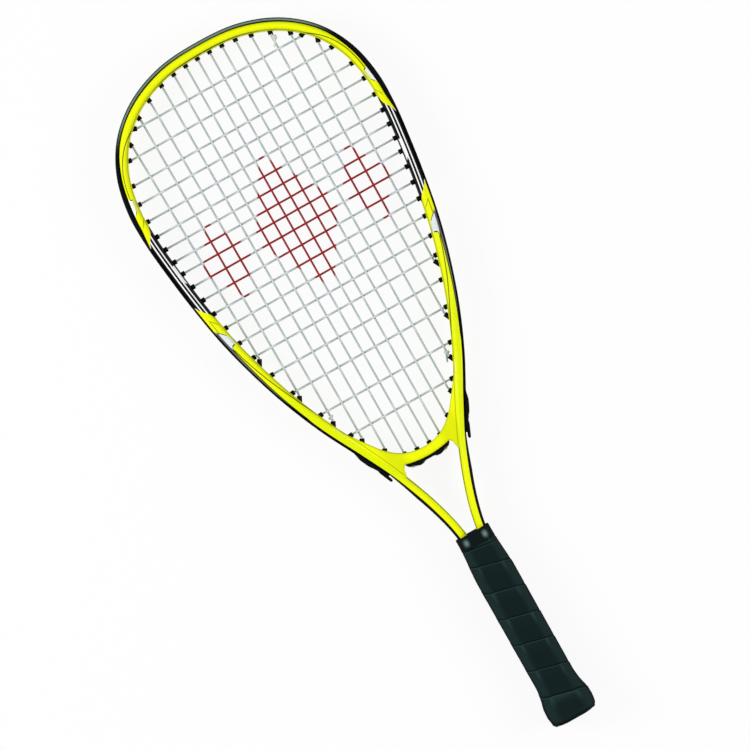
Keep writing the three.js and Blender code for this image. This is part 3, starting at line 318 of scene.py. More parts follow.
def face_at(place):
    """The frame's width seen from the front, strips included."""
    s = frame_sizes()
    faces = (s.handle_face, s.handle_face, s.arm_face, s.throat_face, s.throat_face, s.side_face, s.tip_face)
    return between(height_share(place), list(zip(FACE_SHARES, faces)))


def half_depth_at(place):
    s = frame_sizes()
    depths = (s.handle_depth, s.arm_depth, s.side_depth, s.side_depth, s.tip_depth)
    return between(height_share(place), list(zip(DEPTH_SHARES, depths))) / 2


def main_x(main, y):
    top, foot = MAIN_TOP_SHARES[main] * HEAD_HALF, MAIN_FOOT_SHARES[main] * HEAD_HALF
    return foot + (top - foot) * (y - BRIDGE_Y) / (LENGTH - BRIDGE_Y)


def cross_y(cross):
    return BRIDGE_Y + CROSS_SHARES[cross] * (LENGTH - BRIDGE_Y)


def find_place(start, end, reach, test):
    """The point between two places, at a reach inside the inner face, where a test changes sign."""
    def point(place):
        return edge.at(place, face_at(place) + reach)
    low, high = start, end
    positive = test(point(low)) > 0
    for _ in range(36):
        middle = (low + high) / 2
        if (test(point(middle)) > 0) == positive:
            low = middle
        else:
            high = middle
    return point(low)


def mirrored(point):
    return Vector((-point.x, point.y, point.z))


class Hole:
    """A hole through the frame: the string bends in front of the inner face and runs straight out."""

    def __init__(self, name, bend, string_out, square_share):
        self.name, self.side, self.bend = name, 1, bend
        square = -edge.inward(edge.nearest(bend)[0])
        self.out = (square * square_share + string_out * (1 - square_share)).normalized()
        self.exit = self.reach(LOOP_LANE)
        self.place = edge.nearest(self.exit)[0]

    def reach(self, depth):
        """The point of the hole's line at a depth."""
        flip = mirrored if self.side < 0 else (lambda p: p)
        bend, out = flip(self.bend), flip(self.out)
        run = 0.0
        for _ in range(8):
            place, here = edge.nearest(bend + out * run)
            run += (here - depth) / -out.dot(edge.inward(place))
        return flip(bend + out * run)

    def mirror(self):
        other = object.__new__(Hole)
        other.name, other.side, other.place = self.name, -self.side, -self.place
        other.bend, other.out, other.exit = mirrored(self.bend), mirrored(self.out), mirrored(self.exit)
        return other


class Layout:
    """Where the strings run, and where the strips begin and end."""

    def __init__(self):
        widest = edge.place_at_height(HANDLE_LENGTH + WIDEST_SHARE * FRAME_HEIGHT)
        throat = edge.place_at_height(BRIDGE_Y)
        face = frame_sizes().throat_face
        self.bridge_end_place = edge.place_at_height(BRIDGE_Y + BRIDGE_ARCH - face / 2)
        self.bridge_end = edge.at(self.bridge_end_place, face_at(self.bridge_end_place))
        shares = [(-x, y) for x, y in reversed(BRIDGE_SHARES[1:])] + BRIDGE_SHARES
        rise = self.bridge_end.y - BRIDGE_Y
        self.bridge_top = smooth_curve(
            [Vector((x * self.bridge_end.x, BRIDGE_Y + y * rise, 0)) for x, y in shares], 16)
        self.tops = [Hole(f"top{i}", find_place(0, widest, NOSE, lambda p, i=i: p.x - main_x(i, p.y)), Y_AXIS,
                          SQUARE_TO_FRAME_SHARE) for i in range(len(MAIN_TOP_SHARES))]
        self.feet = [None] * len(BRIDGE_BENDS)
        for i in range(len(BRIDGE_BENDS), len(MAIN_FOOT_SHARES)):
            if i < FIRST_SIDE_FOOT:
                nose = NOSE if i == len(BRIDGE_BENDS) else CLIP_NOSE_SHARE * NOSE
                bend = self.on_bridge(main_x(i, BRIDGE_Y)) + Y_AXIS * nose
                bend.x = main_x(i, bend.y)
            else:
                nose = NOSE if i + 1 < len(MAIN_FOOT_SHARES) else OUTER_NOSE_SHARE * NOSE
                bend = find_place(widest, throat, nose, lambda p, i=i: p.x - main_x(i, p.y))
            lean = CLIP_LEAN_SHARE if i < FIRST_SIDE_FOOT else SQUARE_TO_FRAME_SHARE
            self.feet.append(Hole(f"foot{i}", bend, -Y_AXIS, lean))
        self.crosses = []
        for i in range(len(CROSS_SHARES)):
            y = cross_y(i)
            inner = find_place(0, throat, 0, lambda p, y=y: p.y - y)
            last = max(main_x(m, y) if self.is_crossed(m, y) else 0 for m in range(len(MAIN_TOP_SHARES)))
            bend = find_place(0, throat, min(NOSE, inner.x - last - BEND_ROOM), lambda p, y=y: p.y - y)
            lean = SQUARE_TO_FRAME_SHARE if i < BUMPER_CROSSES else LOWER_CROSS_LEAN_SHARE
            self.crosses.append(Hole(f"cross{i}", bend, X_AXIS, lean))
        self.bumper_end = (self.crosses[BUMPER_CROSSES - 1].place + self.crosses[BUMPER_CROSSES].place) / 2
        self.clip_start = (self.crosses[-1].place + self.feet[3].place) / 2
        self.clip_end = self.feet[2].place + CLIP_PAST_HOLE
        self.tail_end = self.clip_end + CLIP_TAIL
        self.seat_end = self.clip_end + SEAT_FADE
        self.bridge_mains = []
        for i, rise in enumerate(BRIDGE_BENDS):
            x = main_x(i, BRIDGE_Y)
            loop = Vector((x, bridge_lower(x) - BRIDGE_LOOP_DROP - frame_strings().gauge / 2, 0))
            self.bridge_mains.append((self.on_bridge(x) + Y_AXIS * rise, loop))

    def on_bridge(self, x):
        return Vector((x, between(x, self.bridge_top), 0))

    def is_crossed(self, main, y):
        foot = self.feet[main].bend.y if self.feet[main] else BRIDGE_Y
        return foot < y < self.tops[main].bend.y

    def proud(self, place):
        """How far the strip stands out of the tube."""
        s = frame_sizes()
        places = (*PROUD_PLACES, self.clip_end, self.seat_end)
        prouds = (s.bumper_proud, s.shoulder_proud, s.shoulder_proud, s.side_proud, s.side_proud, 0)
        return between(abs(place), list(zip(places, prouds)))


def frame_strings():
    return bpy.context.scene.racket_strings


def bridge_lower(x):
    return BRIDGE_Y - BRIDGE_THICK + LOWER_RISE * (x / LOWER_HALF) ** 2


def steps(start, end, count):
    return [start + (end - start) * i / count for i in range(count + 1)]


# Modelling

DRAWN_RADIUS = 10 * MM  # of a ring before its points go to their places
TOUCHING = 0.01 * MM


def deselect():
    bpy.ops.object.select_all(action="DESELECT")


def take(piece):
    """Selects one piece alone and makes it the active one."""
    deselect()
    piece.select_set(True)
    bpy.context.view_layer.objects.active = piece


def face_outwards():
    """Points the faces of the piece in edit mode outwards, and leaves edit mode."""
    bpy.ops.mesh.select_all(action="SELECT")
    bpy.ops.mesh.normals_make_consistent(inside=False)
    if bmesh.from_edit_mesh(bpy.context.object.data).calc_volume(signed=True) < 0:
        bpy.ops.mesh.flip_normals()
    bpy.ops.object.mode_set(mode="OBJECT")


def keep(piece, name, nodes, material, angle=40):
    """Finishes a piece: its place goes into its mesh, and it stands for its nodes on the body."""
    take(piece)
    bpy.ops.object.transform_apply(location=True, rotation=True, scale=True)
    bpy.ops.object.shade_smooth_by_angle(angle=math.radians(angle))
    piece.name = piece.data.name = name
    slots = piece.data.materials
    if not slots:
        slots.append(None)
    for i, held in enumerate(slots):
        slots[i] = held or material
    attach(piece, "root")
    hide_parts(*nodes)


def ring_verts(mesh, count):
    """The newest ring of vertices in edit mode, in order round the section."""
    corner = mesh.verts.layers.int["corner"]
    mesh.verts.ensure_lookup_table()
    return sorted(mesh.verts[-count:], key=lambda v: v[corner])


def select_ring(mesh, verts):
    """Selects one ring of vertices alone, in edit mode."""
    bpy.ops.mesh.select_all(action="DESELECT")
    for vert in verts:
        vert.select_set(True)
    mesh.select_flush(True)


def sweep(rings, marks=None, caps=True):
    """Draws the first section as a ring and extrudes it from section to section.

    Each ring is a list of points, and marks gives each of its points three numbers that its finish reads.
    """
    count = len(rings[0])
    deselect()
    bpy.ops.mesh.primitive_circle_add(vertices=count, radius=DRAWN_RADIUS, fill_type="NOTHING",
                                      location=(0, 0, 0))
    piece = bpy.context.object
    bpy.ops.object.mode_set(mode="EDIT")
    mesh = bmesh.from_edit_mesh(piece.data)
    corner = mesh.verts.layers.int.new("corner")
    mark = mesh.verts.layers.float_vector.new("mark")
    mesh.verts.ensure_lookup_table()
    for i, vert in enumerate(mesh.verts):
        vert[corner] = i
    for r, ring in enumerate(rings):
        if r:
            move = sum((p - q for p, q in zip(ring, rings[r - 1])), Vector()) / count
            bpy.ops.mesh.extrude_region_move(TRANSFORM_OT_translate={"value": move})
            mesh = bmesh.from_edit_mesh(piece.data)
            mark = mesh.verts.layers.float_vector["mark"]
        for i, vert in enumerate(ring_verts(mesh, count)):
            vert.co = ring[i]
            if marks:
                vert[mark] = marks[r][i]
        bmesh.update_edit_mesh(piece.data, loop_triangles=False, destructive=False)
    if caps:
        bpy.ops.mesh.edge_face_add()
        mesh = bmesh.from_edit_mesh(piece.data)
        mesh.verts.ensure_lookup_table()
        select_ring(mesh, mesh.verts[:count])
        bpy.ops.mesh.edge_face_add()
    face_outwards()
    return piece


def mirror_across(piece):
    """Adds the left half of a piece modelled on the right of the axis."""
    take(piece)
    bpy.ops.object.modifier_add(type="MIRROR")
    mirror = piece.modifiers[-1]
    mirror.use_clip = True
    mirror.merge_threshold = TOUCHING
    bpy.ops.object.modifier_apply(modifier=mirror.name)
    bpy.ops.object.mode_set(mode="EDIT")
    face_outwards()
    return piece


def joined(pieces):
    """One piece out of several."""
    deselect()
    for piece in pieces:
        piece.select_set(True)
    bpy.context.view_layer.objects.active = pieces[0]
    if len(pieces) > 1:
        bpy.ops.object.join()
    return bpy.context.object


def rounded_run(corners, radius, per_corner=3):
    """A closed outline of (a, b) corners with its corners rounded off."""
    run = []
    for i, corner in enumerate(corners):
        corner = Vector(corner)
        before, after = Vector(corners[i - 1]) - corner, Vector(corners[(i + 1) % len(corners)]) - corner
        cut = min(radius, 0.45 * before.length, 0.45 * after.length)
        first, last = corner + before.normalized() * cut, corner + after.normalized() * cut
        for t in steps(0, 1, per_corner):
            run.append(first.lerp(corner, t).lerp(corner.lerp(last, t), t))
    return run


# Barrels: modelled once, then copied to every hole

BARREL_DRAWN = 10 * MM  # length of the one that is copied
BARREL_MOUTH_SHARE, BARREL_BORE_SHARE = 1.25, 0.8
BARREL_COUNTERSINK, BARREL_BORE_DEPTH = 0.5 * MM, 2.5 * MM
BARREL_RIM = 0.45 * MM
BARREL_INTO_FLOOR = 0.25 * MM


def model_barrel(finish):
    """A barrel that points up from its mouth at the origin: a rimmed tube with a countersunk bore."""
    s = frame_strings()
    deselect()
    bpy.ops.mesh.primitive_cylinder_add(vertices=16, radius=s.barrel, depth=BARREL_DRAWN,
                                        location=(0, 0, -BARREL_DRAWN / 2))
    barrel = bpy.context.object
    bpy.ops.object.transform_apply(location=True)
    bpy.ops.object.mode_set(mode="EDIT")
    bpy.ops.mesh.select_all(action="DESELECT")
    mesh = bmesh.from_edit_mesh(barrel.data)
    for face in mesh.faces:
        face.select_set(face.normal.z > 0.9)
    bmesh.update_edit_mesh(barrel.data)
    bpy.ops.mesh.inset(thickness=s.barrel - BARREL_MOUTH_SHARE * s.bore)
    bpy.ops.mesh.extrude_region_move(TRANSFORM_OT_translate={"value": (0, 0, -BARREL_COUNTERSINK)})
    bpy.ops.transform.resize(value=(BARREL_BORE_SHARE, BARREL_BORE_SHARE, 1), center_override=(0, 0, 0))
    bpy.ops.mesh.extrude_region_move(TRANSFORM_OT_translate={"value": (0, 0, -BARREL_BORE_DEPTH)})
    bpy.ops.mesh.select_all(action="DESELECT")
    mesh = bmesh.from_edit_mesh(barrel.data)
    for rim in mesh.edges:
        rim.select_set(all(abs(v.co.z) < TOUCHING and v.co.length > 0.9 * s.barrel for v in rim.verts))
    bmesh.update_edit_mesh(barrel.data)
    bpy.ops.mesh.bevel(offset=BARREL_RIM, segments=3, affect="EDGES")
    bpy.ops.object.mode_set(mode="OBJECT")
    barrel.data.materials.append(finish)
    return barrel


def place_barrel(barrel, mouth, end, stretch=0.0):
    """A copy of the barrel from its mouth to its far end, wider along Z where two strings share it."""
    copy = barrel.copy()
    copy.data = barrel.data.copy()
    bpy.context.collection.objects.link(copy)
    run = mouth - end
    side = run.cross(Z_AXIS).normalized()
    turn = Matrix((side, Z_AXIS, run.normalized())).transposed()
    radius = frame_strings().barrel
    wide = (radius + stretch) / radius
    for vert in copy.data.vertices:
        x, y, z = vert.co
        if z < TOUCHING - BARREL_DRAWN:
            z = -run.length
        vert.co = mouth + turn @ Vector((x, y * wide, z))
    if turn.determinant() < 0:
        copy.data.flip_normals()
    return copy


def barrels_for(barrel, holes):
    return [place_barrel(barrel, h.bend + h.out * MOUTH_BACK, h.reach(GROOVE_FLOOR - BARREL_INTO_FLOOR),
                         STEP / 2 if h.name in TIED_HOLES else 0) for h in holes]


def on_side(holes, side):
    return [h if side > 0 or h is None else h.mirror() for h in holes]


def both_sides(holes):
    return [*holes, *on_side(holes, -1)]


# Frame tube

def tube_half(layout, place):
    """Half of the tube's section, from the seat's floor to the inner face, as (depth, z)."""
    proud = layout.proud(place)
    seat = between(abs(place), [(layout.clip_end, SEAT), (layout.seat_end, 0)])
    width, half = face_at(place) - proud, half_depth_at(place)
    return [(max(seat, proud), SEAT_HALF), (proud, SHOULDER_HALF),
            *((proud + a * width, max(b * half, SHOULDER_HALF * (1 - a))) for a, b in TUBE_SECTION_SHARES)]


def whole_ring(half):
    """A closed section from the half above the strings' plane."""
    return [*half, *((depth, -z) for depth, z in reversed(half) if z)]


def along_edge(sections, side=1):
    """Rings and marks for (place, section) pairs along the frame, each section a list of (depth, z)."""
    rings = [[edge.at(side * place, depth, z) for depth, z in section] for place, section in sections]
    marks = [[Vector((place, depth, z)) for depth, z in section] for place, section in sections]
    return rings, marks


class RACKET_OT_frame_tube(bpy.types.Operator):
    """Bend the lacquered tube round the head and down both arms"""

    bl_idname = "racket.frame_tube"
    bl_label = "Frame tube"

    def execute(self, context):
        layout = Layout()
        changes = [layout.bumper_end, layout.clip_end, layout.seat_end]
        places = sorted({*steps(0, edge.half, TUBE_RINGS), *changes})
        rings, marks = along_edge([(place, whole_ring(tube_half(layout, place))) for place in places])
        for point in rings[0]:
            point.x = 0
        tube = mirror_across(sweep_open_start(rings, marks))
        keep(tube, "racket_tube", ["frame_tube"], yellow_lacquer("racket_lacquer", True))
        return {"FINISHED"}


def sweep_open_start(rings, marks=None):
    """A sweep whose first section stays open, to be joined to its mirror image."""
    piece = sweep(rings, marks, caps=False)
    bpy.ops.object.mode_set(mode="EDIT")
    mesh = bmesh.from_edit_mesh(piece.data)
    mesh.verts.ensure_lookup_table()
    select_ring(mesh, mesh.verts[-len(rings[0]):])
    bpy.ops.mesh.edge_face_add()
    bpy.ops.object.mode_set(mode="OBJECT")
    return piece


# Throat bridge

STRAIGHT_HALF = 16 * MM  # of its lower edge, before the corners
# The corner from the lower edge down to the arm, in millimetres: distances from the axis and down
CORNER = [(17.6, 0.05), (18.7, 0.5), (19.5, 1.2), (20.1, 2.3), (20.5, 4.0), (20.8, 6.6), (21.6, 8.6),
          (22.6, 9.2)]
CORNER_RUN = (16.8 * MM, 22 * MM)
CORNER_REACH = 23.4 * MM
ARM_RUN_START = 23.5 * MM
INTO_ARM_SHARE, END_SHARE = 0.66, 0.62  # how deep in the arm the bridge's edge and its end lie
LEAST_HEIGHT = 1.5 * MM
TOP_SLOPE = 1.3
BRIDGE_ROUNDING = 2.6 * MM
CROWN_SHARE = 0.03


class RACKET_OT_bridge(bpy.types.Operator):
    """Mould the bridge between the two arms"""

    bl_idname = "racket.bridge"
    bl_label = "Throat bridge"

    def execute(self, context):
        layout = Layout()
        half = frame_sizes().bridge_depth / 2
        corner_y = bridge_lower(LOWER_HALF) - CORNER_DROP
        arm_inside = find_place(layout.bridge_end_place, edge.place_at_height(HANDLE_LENGTH), 0,
                                lambda p: p.y - corner_y)
        low_place = edge.nearest(arm_inside)[0]
        arm_line = [edge.at(place, INTO_ARM_SHARE * face_at(place))
                    for place in steps(low_place, layout.bridge_end_place, 8)]
        lower = [(x, bridge_lower(x)) for x in steps(0, STRAIGHT_HALF, 6)]
        lower += [(x * MM, bridge_lower(LOWER_HALF) - down * MM) for x, down in CORNER]
        lower += [(p.x, p.y) for p in arm_line if p.x > CORNER_REACH]
        upper = [(p.x, p.y) for p in layout.bridge_top]
        last_x, last_y = upper[-1]
        end_x = edge.at(layout.bridge_end_place, END_SHARE * face_at(layout.bridge_end_place)).x
        rings, marks = [], []
        for x in [*steps(0, STRAIGHT_HALF, 8), *steps(*CORNER_RUN, 8), *steps(ARM_RUN_START, end_x, 12)]:
            low = between(x, lower)
            top = between(x, upper) if x < last_x else last_y + (x - last_x) * TOP_SLOPE
            top = max(top, low + LEAST_HEIGHT)
            section = rounded_run([(top, -half), (top, half), (low, half), (low, -half)], BRIDGE_ROUNDING, 4)
            rings.append([Vector((x, y, z * (1 + CROWN_SHARE * math.sin(math.pi * (y - low) / (top - low)))))
                          for y, z in section])
            marks.append([Vector((*edge.nearest((x, y)), z)) for y, z in section])
        bridge = mirror_across(sweep_open_start(rings, marks))
        finish = yellow_lacquer("racket_moulding", False)
        keep(bridge, "racket_bridge", ["throat_bridge"], finish)
        return {"FINISHED"}


# Grommet strips

FLANGE_SINK = 0.1 * MM
FLANGE_ROUNDING = 0.8 * MM
STRIP_GAP = 0.15 * MM  # half of the gap between the bumper and a side strip
CLIP_GAP = 0.05 * MM
BRIDGE_BARREL = (-0.4 * MM, 0.5 * MM)  # from a main's bend and from its loop, up, to the ends of its barrel


def strip_section(layout, place, width, bulge):
    """A strip's closed section as (depth, z): a grooved band with a flange on each side."""
    under = layout.proud(place) - FLANGE_SINK
    half = width / 2
    return rounded_run([
        (GROOVE_FLOOR, 0), (GROOVE_FLOOR, GROOVE_HALF), (-bulge, GROOVE_HALF), (-bulge, half), (under, half),
        (under, BASE_HALF), (BASE_BACK, BASE_HALF), (BASE_BACK, -BASE_HALF), (under, -BASE_HALF),
        (under, -half), (-bulge, -half), (-bulge, -GROOVE_HALF), (GROOVE_FLOOR, -GROOVE_HALF),
    ], FLANGE_ROUNDING, 2)


def strip_band(layout, start, end, width, bulge=lambda place: 0.0, count=60):
    return sweep(*along_edge([(place, strip_section(layout, place, width, bulge(place)))
                              for place in steps(start, end, count)]))


class RACKET_OT_strips(bpy.types.Operator):
    """Lay the bumper, the side strips, the throat clips and the bridge strip, with their barrels"""

    bl_idname = "racket.strips"
    bl_label = "Grommet strips"

    def execute(self, context):
        layout = Layout()
        s = frame_sizes()
        highlighted_bumper, black = strip_plastic("racket_bumper", True), strip_plastic("racket_black_strip", False)
        barrel = model_barrel(black)
        end = layout.bumper_end - STRIP_GAP
        bumper = joined([
            strip_band(layout, -end, end, s.bumper_width, count=150),
            *barrels_for(barrel, both_sides([*layout.tops, *layout.crosses[:BUMPER_CROSSES]]))])
        keep(bumper, "racket_bumper_guard", ["bumper_guard"], highlighted_bumper)
        side_holes = [*layout.crosses[BUMPER_CROSSES:], *layout.feet[FIRST_SIDE_FOOT:]]
        clip_holes = layout.feet[len(BRIDGE_BENDS):FIRST_SIDE_FOOT]
        start = layout.bumper_end + STRIP_GAP
        for side, word in ((1, "right"), (-1, "left")):
            strip = joined([
                strip_band(layout, side * start, side * layout.clip_start, s.side_width),
                *barrels_for(barrel, on_side(side_holes, side))])
            keep(strip, f"racket_side_strip_{word}", [f"side_strip_{word}"], black)
            clip = joined([*clip_body(layout, side), *barrels_for(barrel, on_side(clip_holes, side))])
            keep(clip, f"racket_throat_clip_{word}", [f"throat_clip_{word}"], black)
        mouth, foot = (Y_AXIS * rise for rise in BRIDGE_BARREL)
        bars = [place_barrel(barrel, turn(bend + mouth), turn(loop + foot))
                for turn in (Vector, mirrored) for bend, loop in layout.bridge_mains]
        keep(joined([bridge_band(), *bars]), "racket_bridge_strip", ["bridge_strip"], black)
        bpy.data.objects.remove(barrel)
        return {"FINISHED"}


# How a clip bulges along its length: shares of its length and of the bulge
CLIP_BULGE = 1.9 * MM
BULGE_SHARES = [(0, 0), (0.08, 0.02), (0.27, 0.9), (0.42, 1), (0.56, 1), (0.7, 0.2), (0.8, 0)]
# Its free tail, by shares of the tail's length
TAIL_ROOT_SHARE = 0.6  # of the clip
TAIL_SHARES = [0, 0.1, 0.17, 0.24, 0.31, 0.38, 0.5, 0.62, 0.75, 0.87, 0.93, 0.97, 0.99, 1]
TAIL_SLIM_SHARES = [(0.93, 1), (0.97, 0.8), (1, 0.35)]
TAIL_NOTCH = [(0.08, 0), (0.24, 0.55 * MM), (0.4, 0)]
TAIL_SHORT = 1.2 * MM
TAIL_INSIDE, TAIL_LIFT, TAIL_LIP = 0.825 * MM, 0.7 * MM, 1.1 * MM
TAIL_THICK, TAIL_HALF, TAIL_ROUNDING = 2.2 * MM, 3.5 * MM, 0.6 * MM
TAIL_POINT_SHARE = 0.4


def clip_body(layout, side):
    """A clip's band, which bulges outwards, and its free tail."""
    start, end = layout.clip_start + CLIP_GAP, layout.clip_end

    def bulge(place):
        return CLIP_BULGE * between((abs(place) - start) / (end - start), BULGE_SHARES)
    band = strip_band(layout, side * start, side * end, frame_sizes().side_width, bulge, 24)
    sections = []
    root, tip = start + TAIL_ROOT_SHARE * (end - start), layout.tail_end - TAIL_SHORT
    for share in TAIL_SHARES:
        slim = between(share, TAIL_SLIM_SHARES)
        inner = TAIL_INSIDE - share * TAIL_LIFT - (1 - slim) * TAIL_LIP
        outer = inner - TAIL_THICK * slim + between(share, TAIL_NOTCH)
        half = TAIL_HALF * (TAIL_POINT_SHARE + (1 - TAIL_POINT_SHARE) * slim)
        corners = [(inner, -half), (inner, half), (outer, half), (outer, -half)]
        sections.append((root + share * (tip - root), rounded_run(corners, TAIL_ROUNDING, 2)))
    return [band, sweep(*along_edge(sections, side))]


# The strip under the bridge, and the thicker place at each of its two loops
BAND_THICK, BAND_MORE = 2.1 * MM, 1.75 * MM
BAND_LOOP_X, BAND_LOOP_REACH = 8.4 * MM, 6 * MM
BAND_END, BAND_END_SHARE = 1.2 * MM, 0.35
BAND_SINK, BAND_CHAMFER, BAND_ROUNDING = 0.1 * MM, 0.4 * MM, 0.7 * MM


def bridge_band():
    """The strip under the bridge, thicker at its two loops."""
    rings = []
    for x in steps(-LOWER_HALF, LOWER_HALF, 60):
        off = min(1, abs(abs(x) - BAND_LOOP_X) / BAND_LOOP_REACH)
        ends = min(1, (LOWER_HALF - abs(x)) / BAND_END + BAND_END_SHARE)
        top = bridge_lower(x) - BAND_SINK
        low = top - (BAND_THICK + BAND_MORE * math.cos(math.pi / 2 * off) ** 2) * ends
        half = BASE_HALF - BAND_CHAMFER
        corners = [(top, -BASE_HALF), (top, BASE_HALF), (low, half), (low, -half)]
        rings.append([Vector((x, y, z)) for y, z in rounded_run(corners, BAND_ROUNDING, 3)])
    return sweep(rings, rings)


# Strings

BEND_RADIUS = 1.3 * MM
SHARP_TURN = math.radians(14)  # a path that turns less needs no bend
LANE_STEP = 3 * MM
LEVEL_RUN = 1.9 * MM  # how far in from its bend a tied string stays level
WINDING_RADIUS, WINDING_PITCH = 1.38 * MM, 1.5 * MM
WINDING_START, TAIL_ARCH = 0.3 * MM, 0.5 * MM
POINTS_A_TURN = 14
MAIN_WEAVE_SHARE = 0.85  # how far a main gives way, of the weave
UPPER_TIE_PLACE = Vector((1.0, 1.4, 0)) * MM  # from the level point of the string that it is tied to
# A tail's run: ahead, sideways and up, as shares of its length
LEFT_TAIL_SHARES = (-0.3, 0.1, 0)
RIGHT_TAIL_SHARES = (-1.15, -0.5, -0.1)
UPPER_TAIL_SHARES = (0.7, 0.45, 0.25)


def rounded_path(points, radius):
    """A path whose sharp corners are turned into short bends."""
    path = [points[0]]
    for before, corner, after in zip(points, points[1:], points[2:]):
        a, b = before - corner, after - corner
        if min(a.length, b.length) < 1e-6:
            continue
        if math.pi - a.angle(b, math.pi) < SHARP_TURN:
            path.append(corner)
            continue
        cut = min(radius, 0.48 * a.length, 0.48 * b.length)
        first, last = corner + a.normalized() * cut, corner + b.normalized() * cut
        path += [first.lerp(corner, t).lerp(corner.lerp(last, t), t) for t in steps(0, 1, 5)]
    return [*path, points[-1]]


def out_through(hole, z=0.0):
    return [Vector((*hole.bend[:2], z)), Vector((*hole.exit[:2], z))]


def lane_run(start, end, depth, z):
    count = max(1, round(abs(end - start) / LANE_STEP))
    return [edge.at(place, depth, z) for place in steps(start, end, count)]


def loop_between(a, b, lane_z=0.0, z_a=0.0, z_b=0.0):
    """A loop along the outside from one hole to another, beside the holes that it passes."""
    sign = 1 if b.place > a.place else -1
    lead = LANE_LEAD if lane_z else frame_strings().gauge
    run = lane_run(a.place + sign * lead, b.place - sign * lead, LOOP_LANE, lane_z)
    return [*out_through(a, z_a), *(run if lane_z else run[1:-1]), *reversed(out_through(b, z_b))]


def level_point(hole, far):
    return hole.bend.lerp(far.bend, LEVEL_RUN / (hole.bend - far.bend).length)


def tie(hole, start, far, face, shares, turns):
    """A tied end: it winds round the string beside it and leaves a loose tail."""
    inward, up = (far - start).normalized(), Z_AXIS * face
    across = inward.cross(Z_AXIS) * hole.side
    knot = []
    for turn in steps(0, turns, round(POINTS_A_TURN * turns)):
        angle = 2 * math.pi * turn
        round_it = (across * math.sin(angle) - up * math.cos(angle)) * WINDING_RADIUS
        knot.append(start + inward * (WINDING_START + turn * WINDING_PITCH) + round_it)
    ahead, sideways, lift = shares
    end = knot[-1] + (inward * ahead + across * sideways + up * lift) * TAIL
    return [*knot, knot[-1].lerp(end, 0.5) + up * TAIL_ARCH, end]


def woven(start, end, crossings):
    """A run of string from one end to the other over a row of (point, height) crossings."""
    stops = [(start, 0.0), *crossings, (end, 0.0)]
    run = []
    for (a, low), (b, high) in zip(stops, stops[1:]):
        for t in steps(0, 1, 6)[:-1]:
            point = a.lerp(b, t)
            run.append(Vector((point.x, point.y, low + (high - low) * (1 - math.cos(math.pi * t)) / 2)))
    return [*run, end.copy()]


def weave_sign(main, cross):
    return 1 if (main + cross) % 2 == 0 else -1


def main_run(layout, main, side, top, foot):
    """One main string from its top bend to its foot, woven through the crosses."""
    index = main if side > 0 else -1 - main
    rise = frame_strings().weave
    crossings = []
    for cross in range(len(CROSS_SHARES)):
        y = cross_y(cross)
        if layout.is_crossed(main, y):
            height = -MAIN_WEAVE_SHARE * rise * weave_sign(index, cross)
            crossings.append((Vector((side * main_x(main, y), y, 0)), height))
    return woven(Vector((*top[:2], 0)), Vector((*foot[:2], 0)), crossings)


def main_half(layout, side):
    """One side of the main string, from the middle of the crown to its tied end."""
    tops, feet = on_side(layout.tops, side), on_side(layout.feet, side)
    (inner_bend, inner_loop), (outer_bend, outer_loop) = [
        tuple(p if side > 0 else mirrored(p) for p in pair) for pair in layout.bridge_mains]
    tie_z = STEP / 2
    tied = feet[4]
    level = level_point(tied, tops[4])

    def run(main, foot, top=None):
        return main_run(layout, main, side, top or tops[main].bend, foot)
    top_level = level_point(tops[4], tied) if side > 0 else tops[4].bend
    low_level = level_point(feet[3], tops[3]) if side < 0 else feet[3].bend
    return [
        *reversed(out_through(tops[0])), *run(0, inner_bend)[1:],
        inner_loop, outer_loop,
        *reversed(run(1, outer_bend)), *loop_between(tops[1], tops[2])[1:],
        *run(2, feet[2].bend)[1:], *loop_between(feet[2], feet[3], 0, 0, tie_z if side < 0 else 0)[1:],
        *reversed(run(3, low_level)), *loop_between(tops[3], tops[4], 0, 0, tie_z if side > 0 else 0)[1:],
        *run(4, level, top_level),
        *loop_between(feet[4], feet[5], LANE_Z, tie_z, 0),
        *reversed(run(5, feet[5].bend)), *loop_between(tops[5], tops[6], LANE_Z)[1:],
        *run(6, feet[6].bend)[1:], *out_through(feet[6])[1:],
        *lane_run(feet[6].place + side * LANE_LEAD, tied.place - side * frame_strings().gauge, TAIL_LANE, 0),
        Vector((*tied.reach(TAIL_LANE)[:2], -tie_z)), Vector((*tied.bend[:2], -tie_z)),
        *tie(tied, level, tops[4].bend, side, RIGHT_TAIL_SHARES if side > 0 else LEFT_TAIL_SHARES, 1),
    ]


def is_passed(layout, a, b):
    """Whether a main string's hole lies between two holes of the cross string."""
    return any(h and abs(a.place) < h.place < abs(b.place) for h in [*layout.tops, *layout.feet])


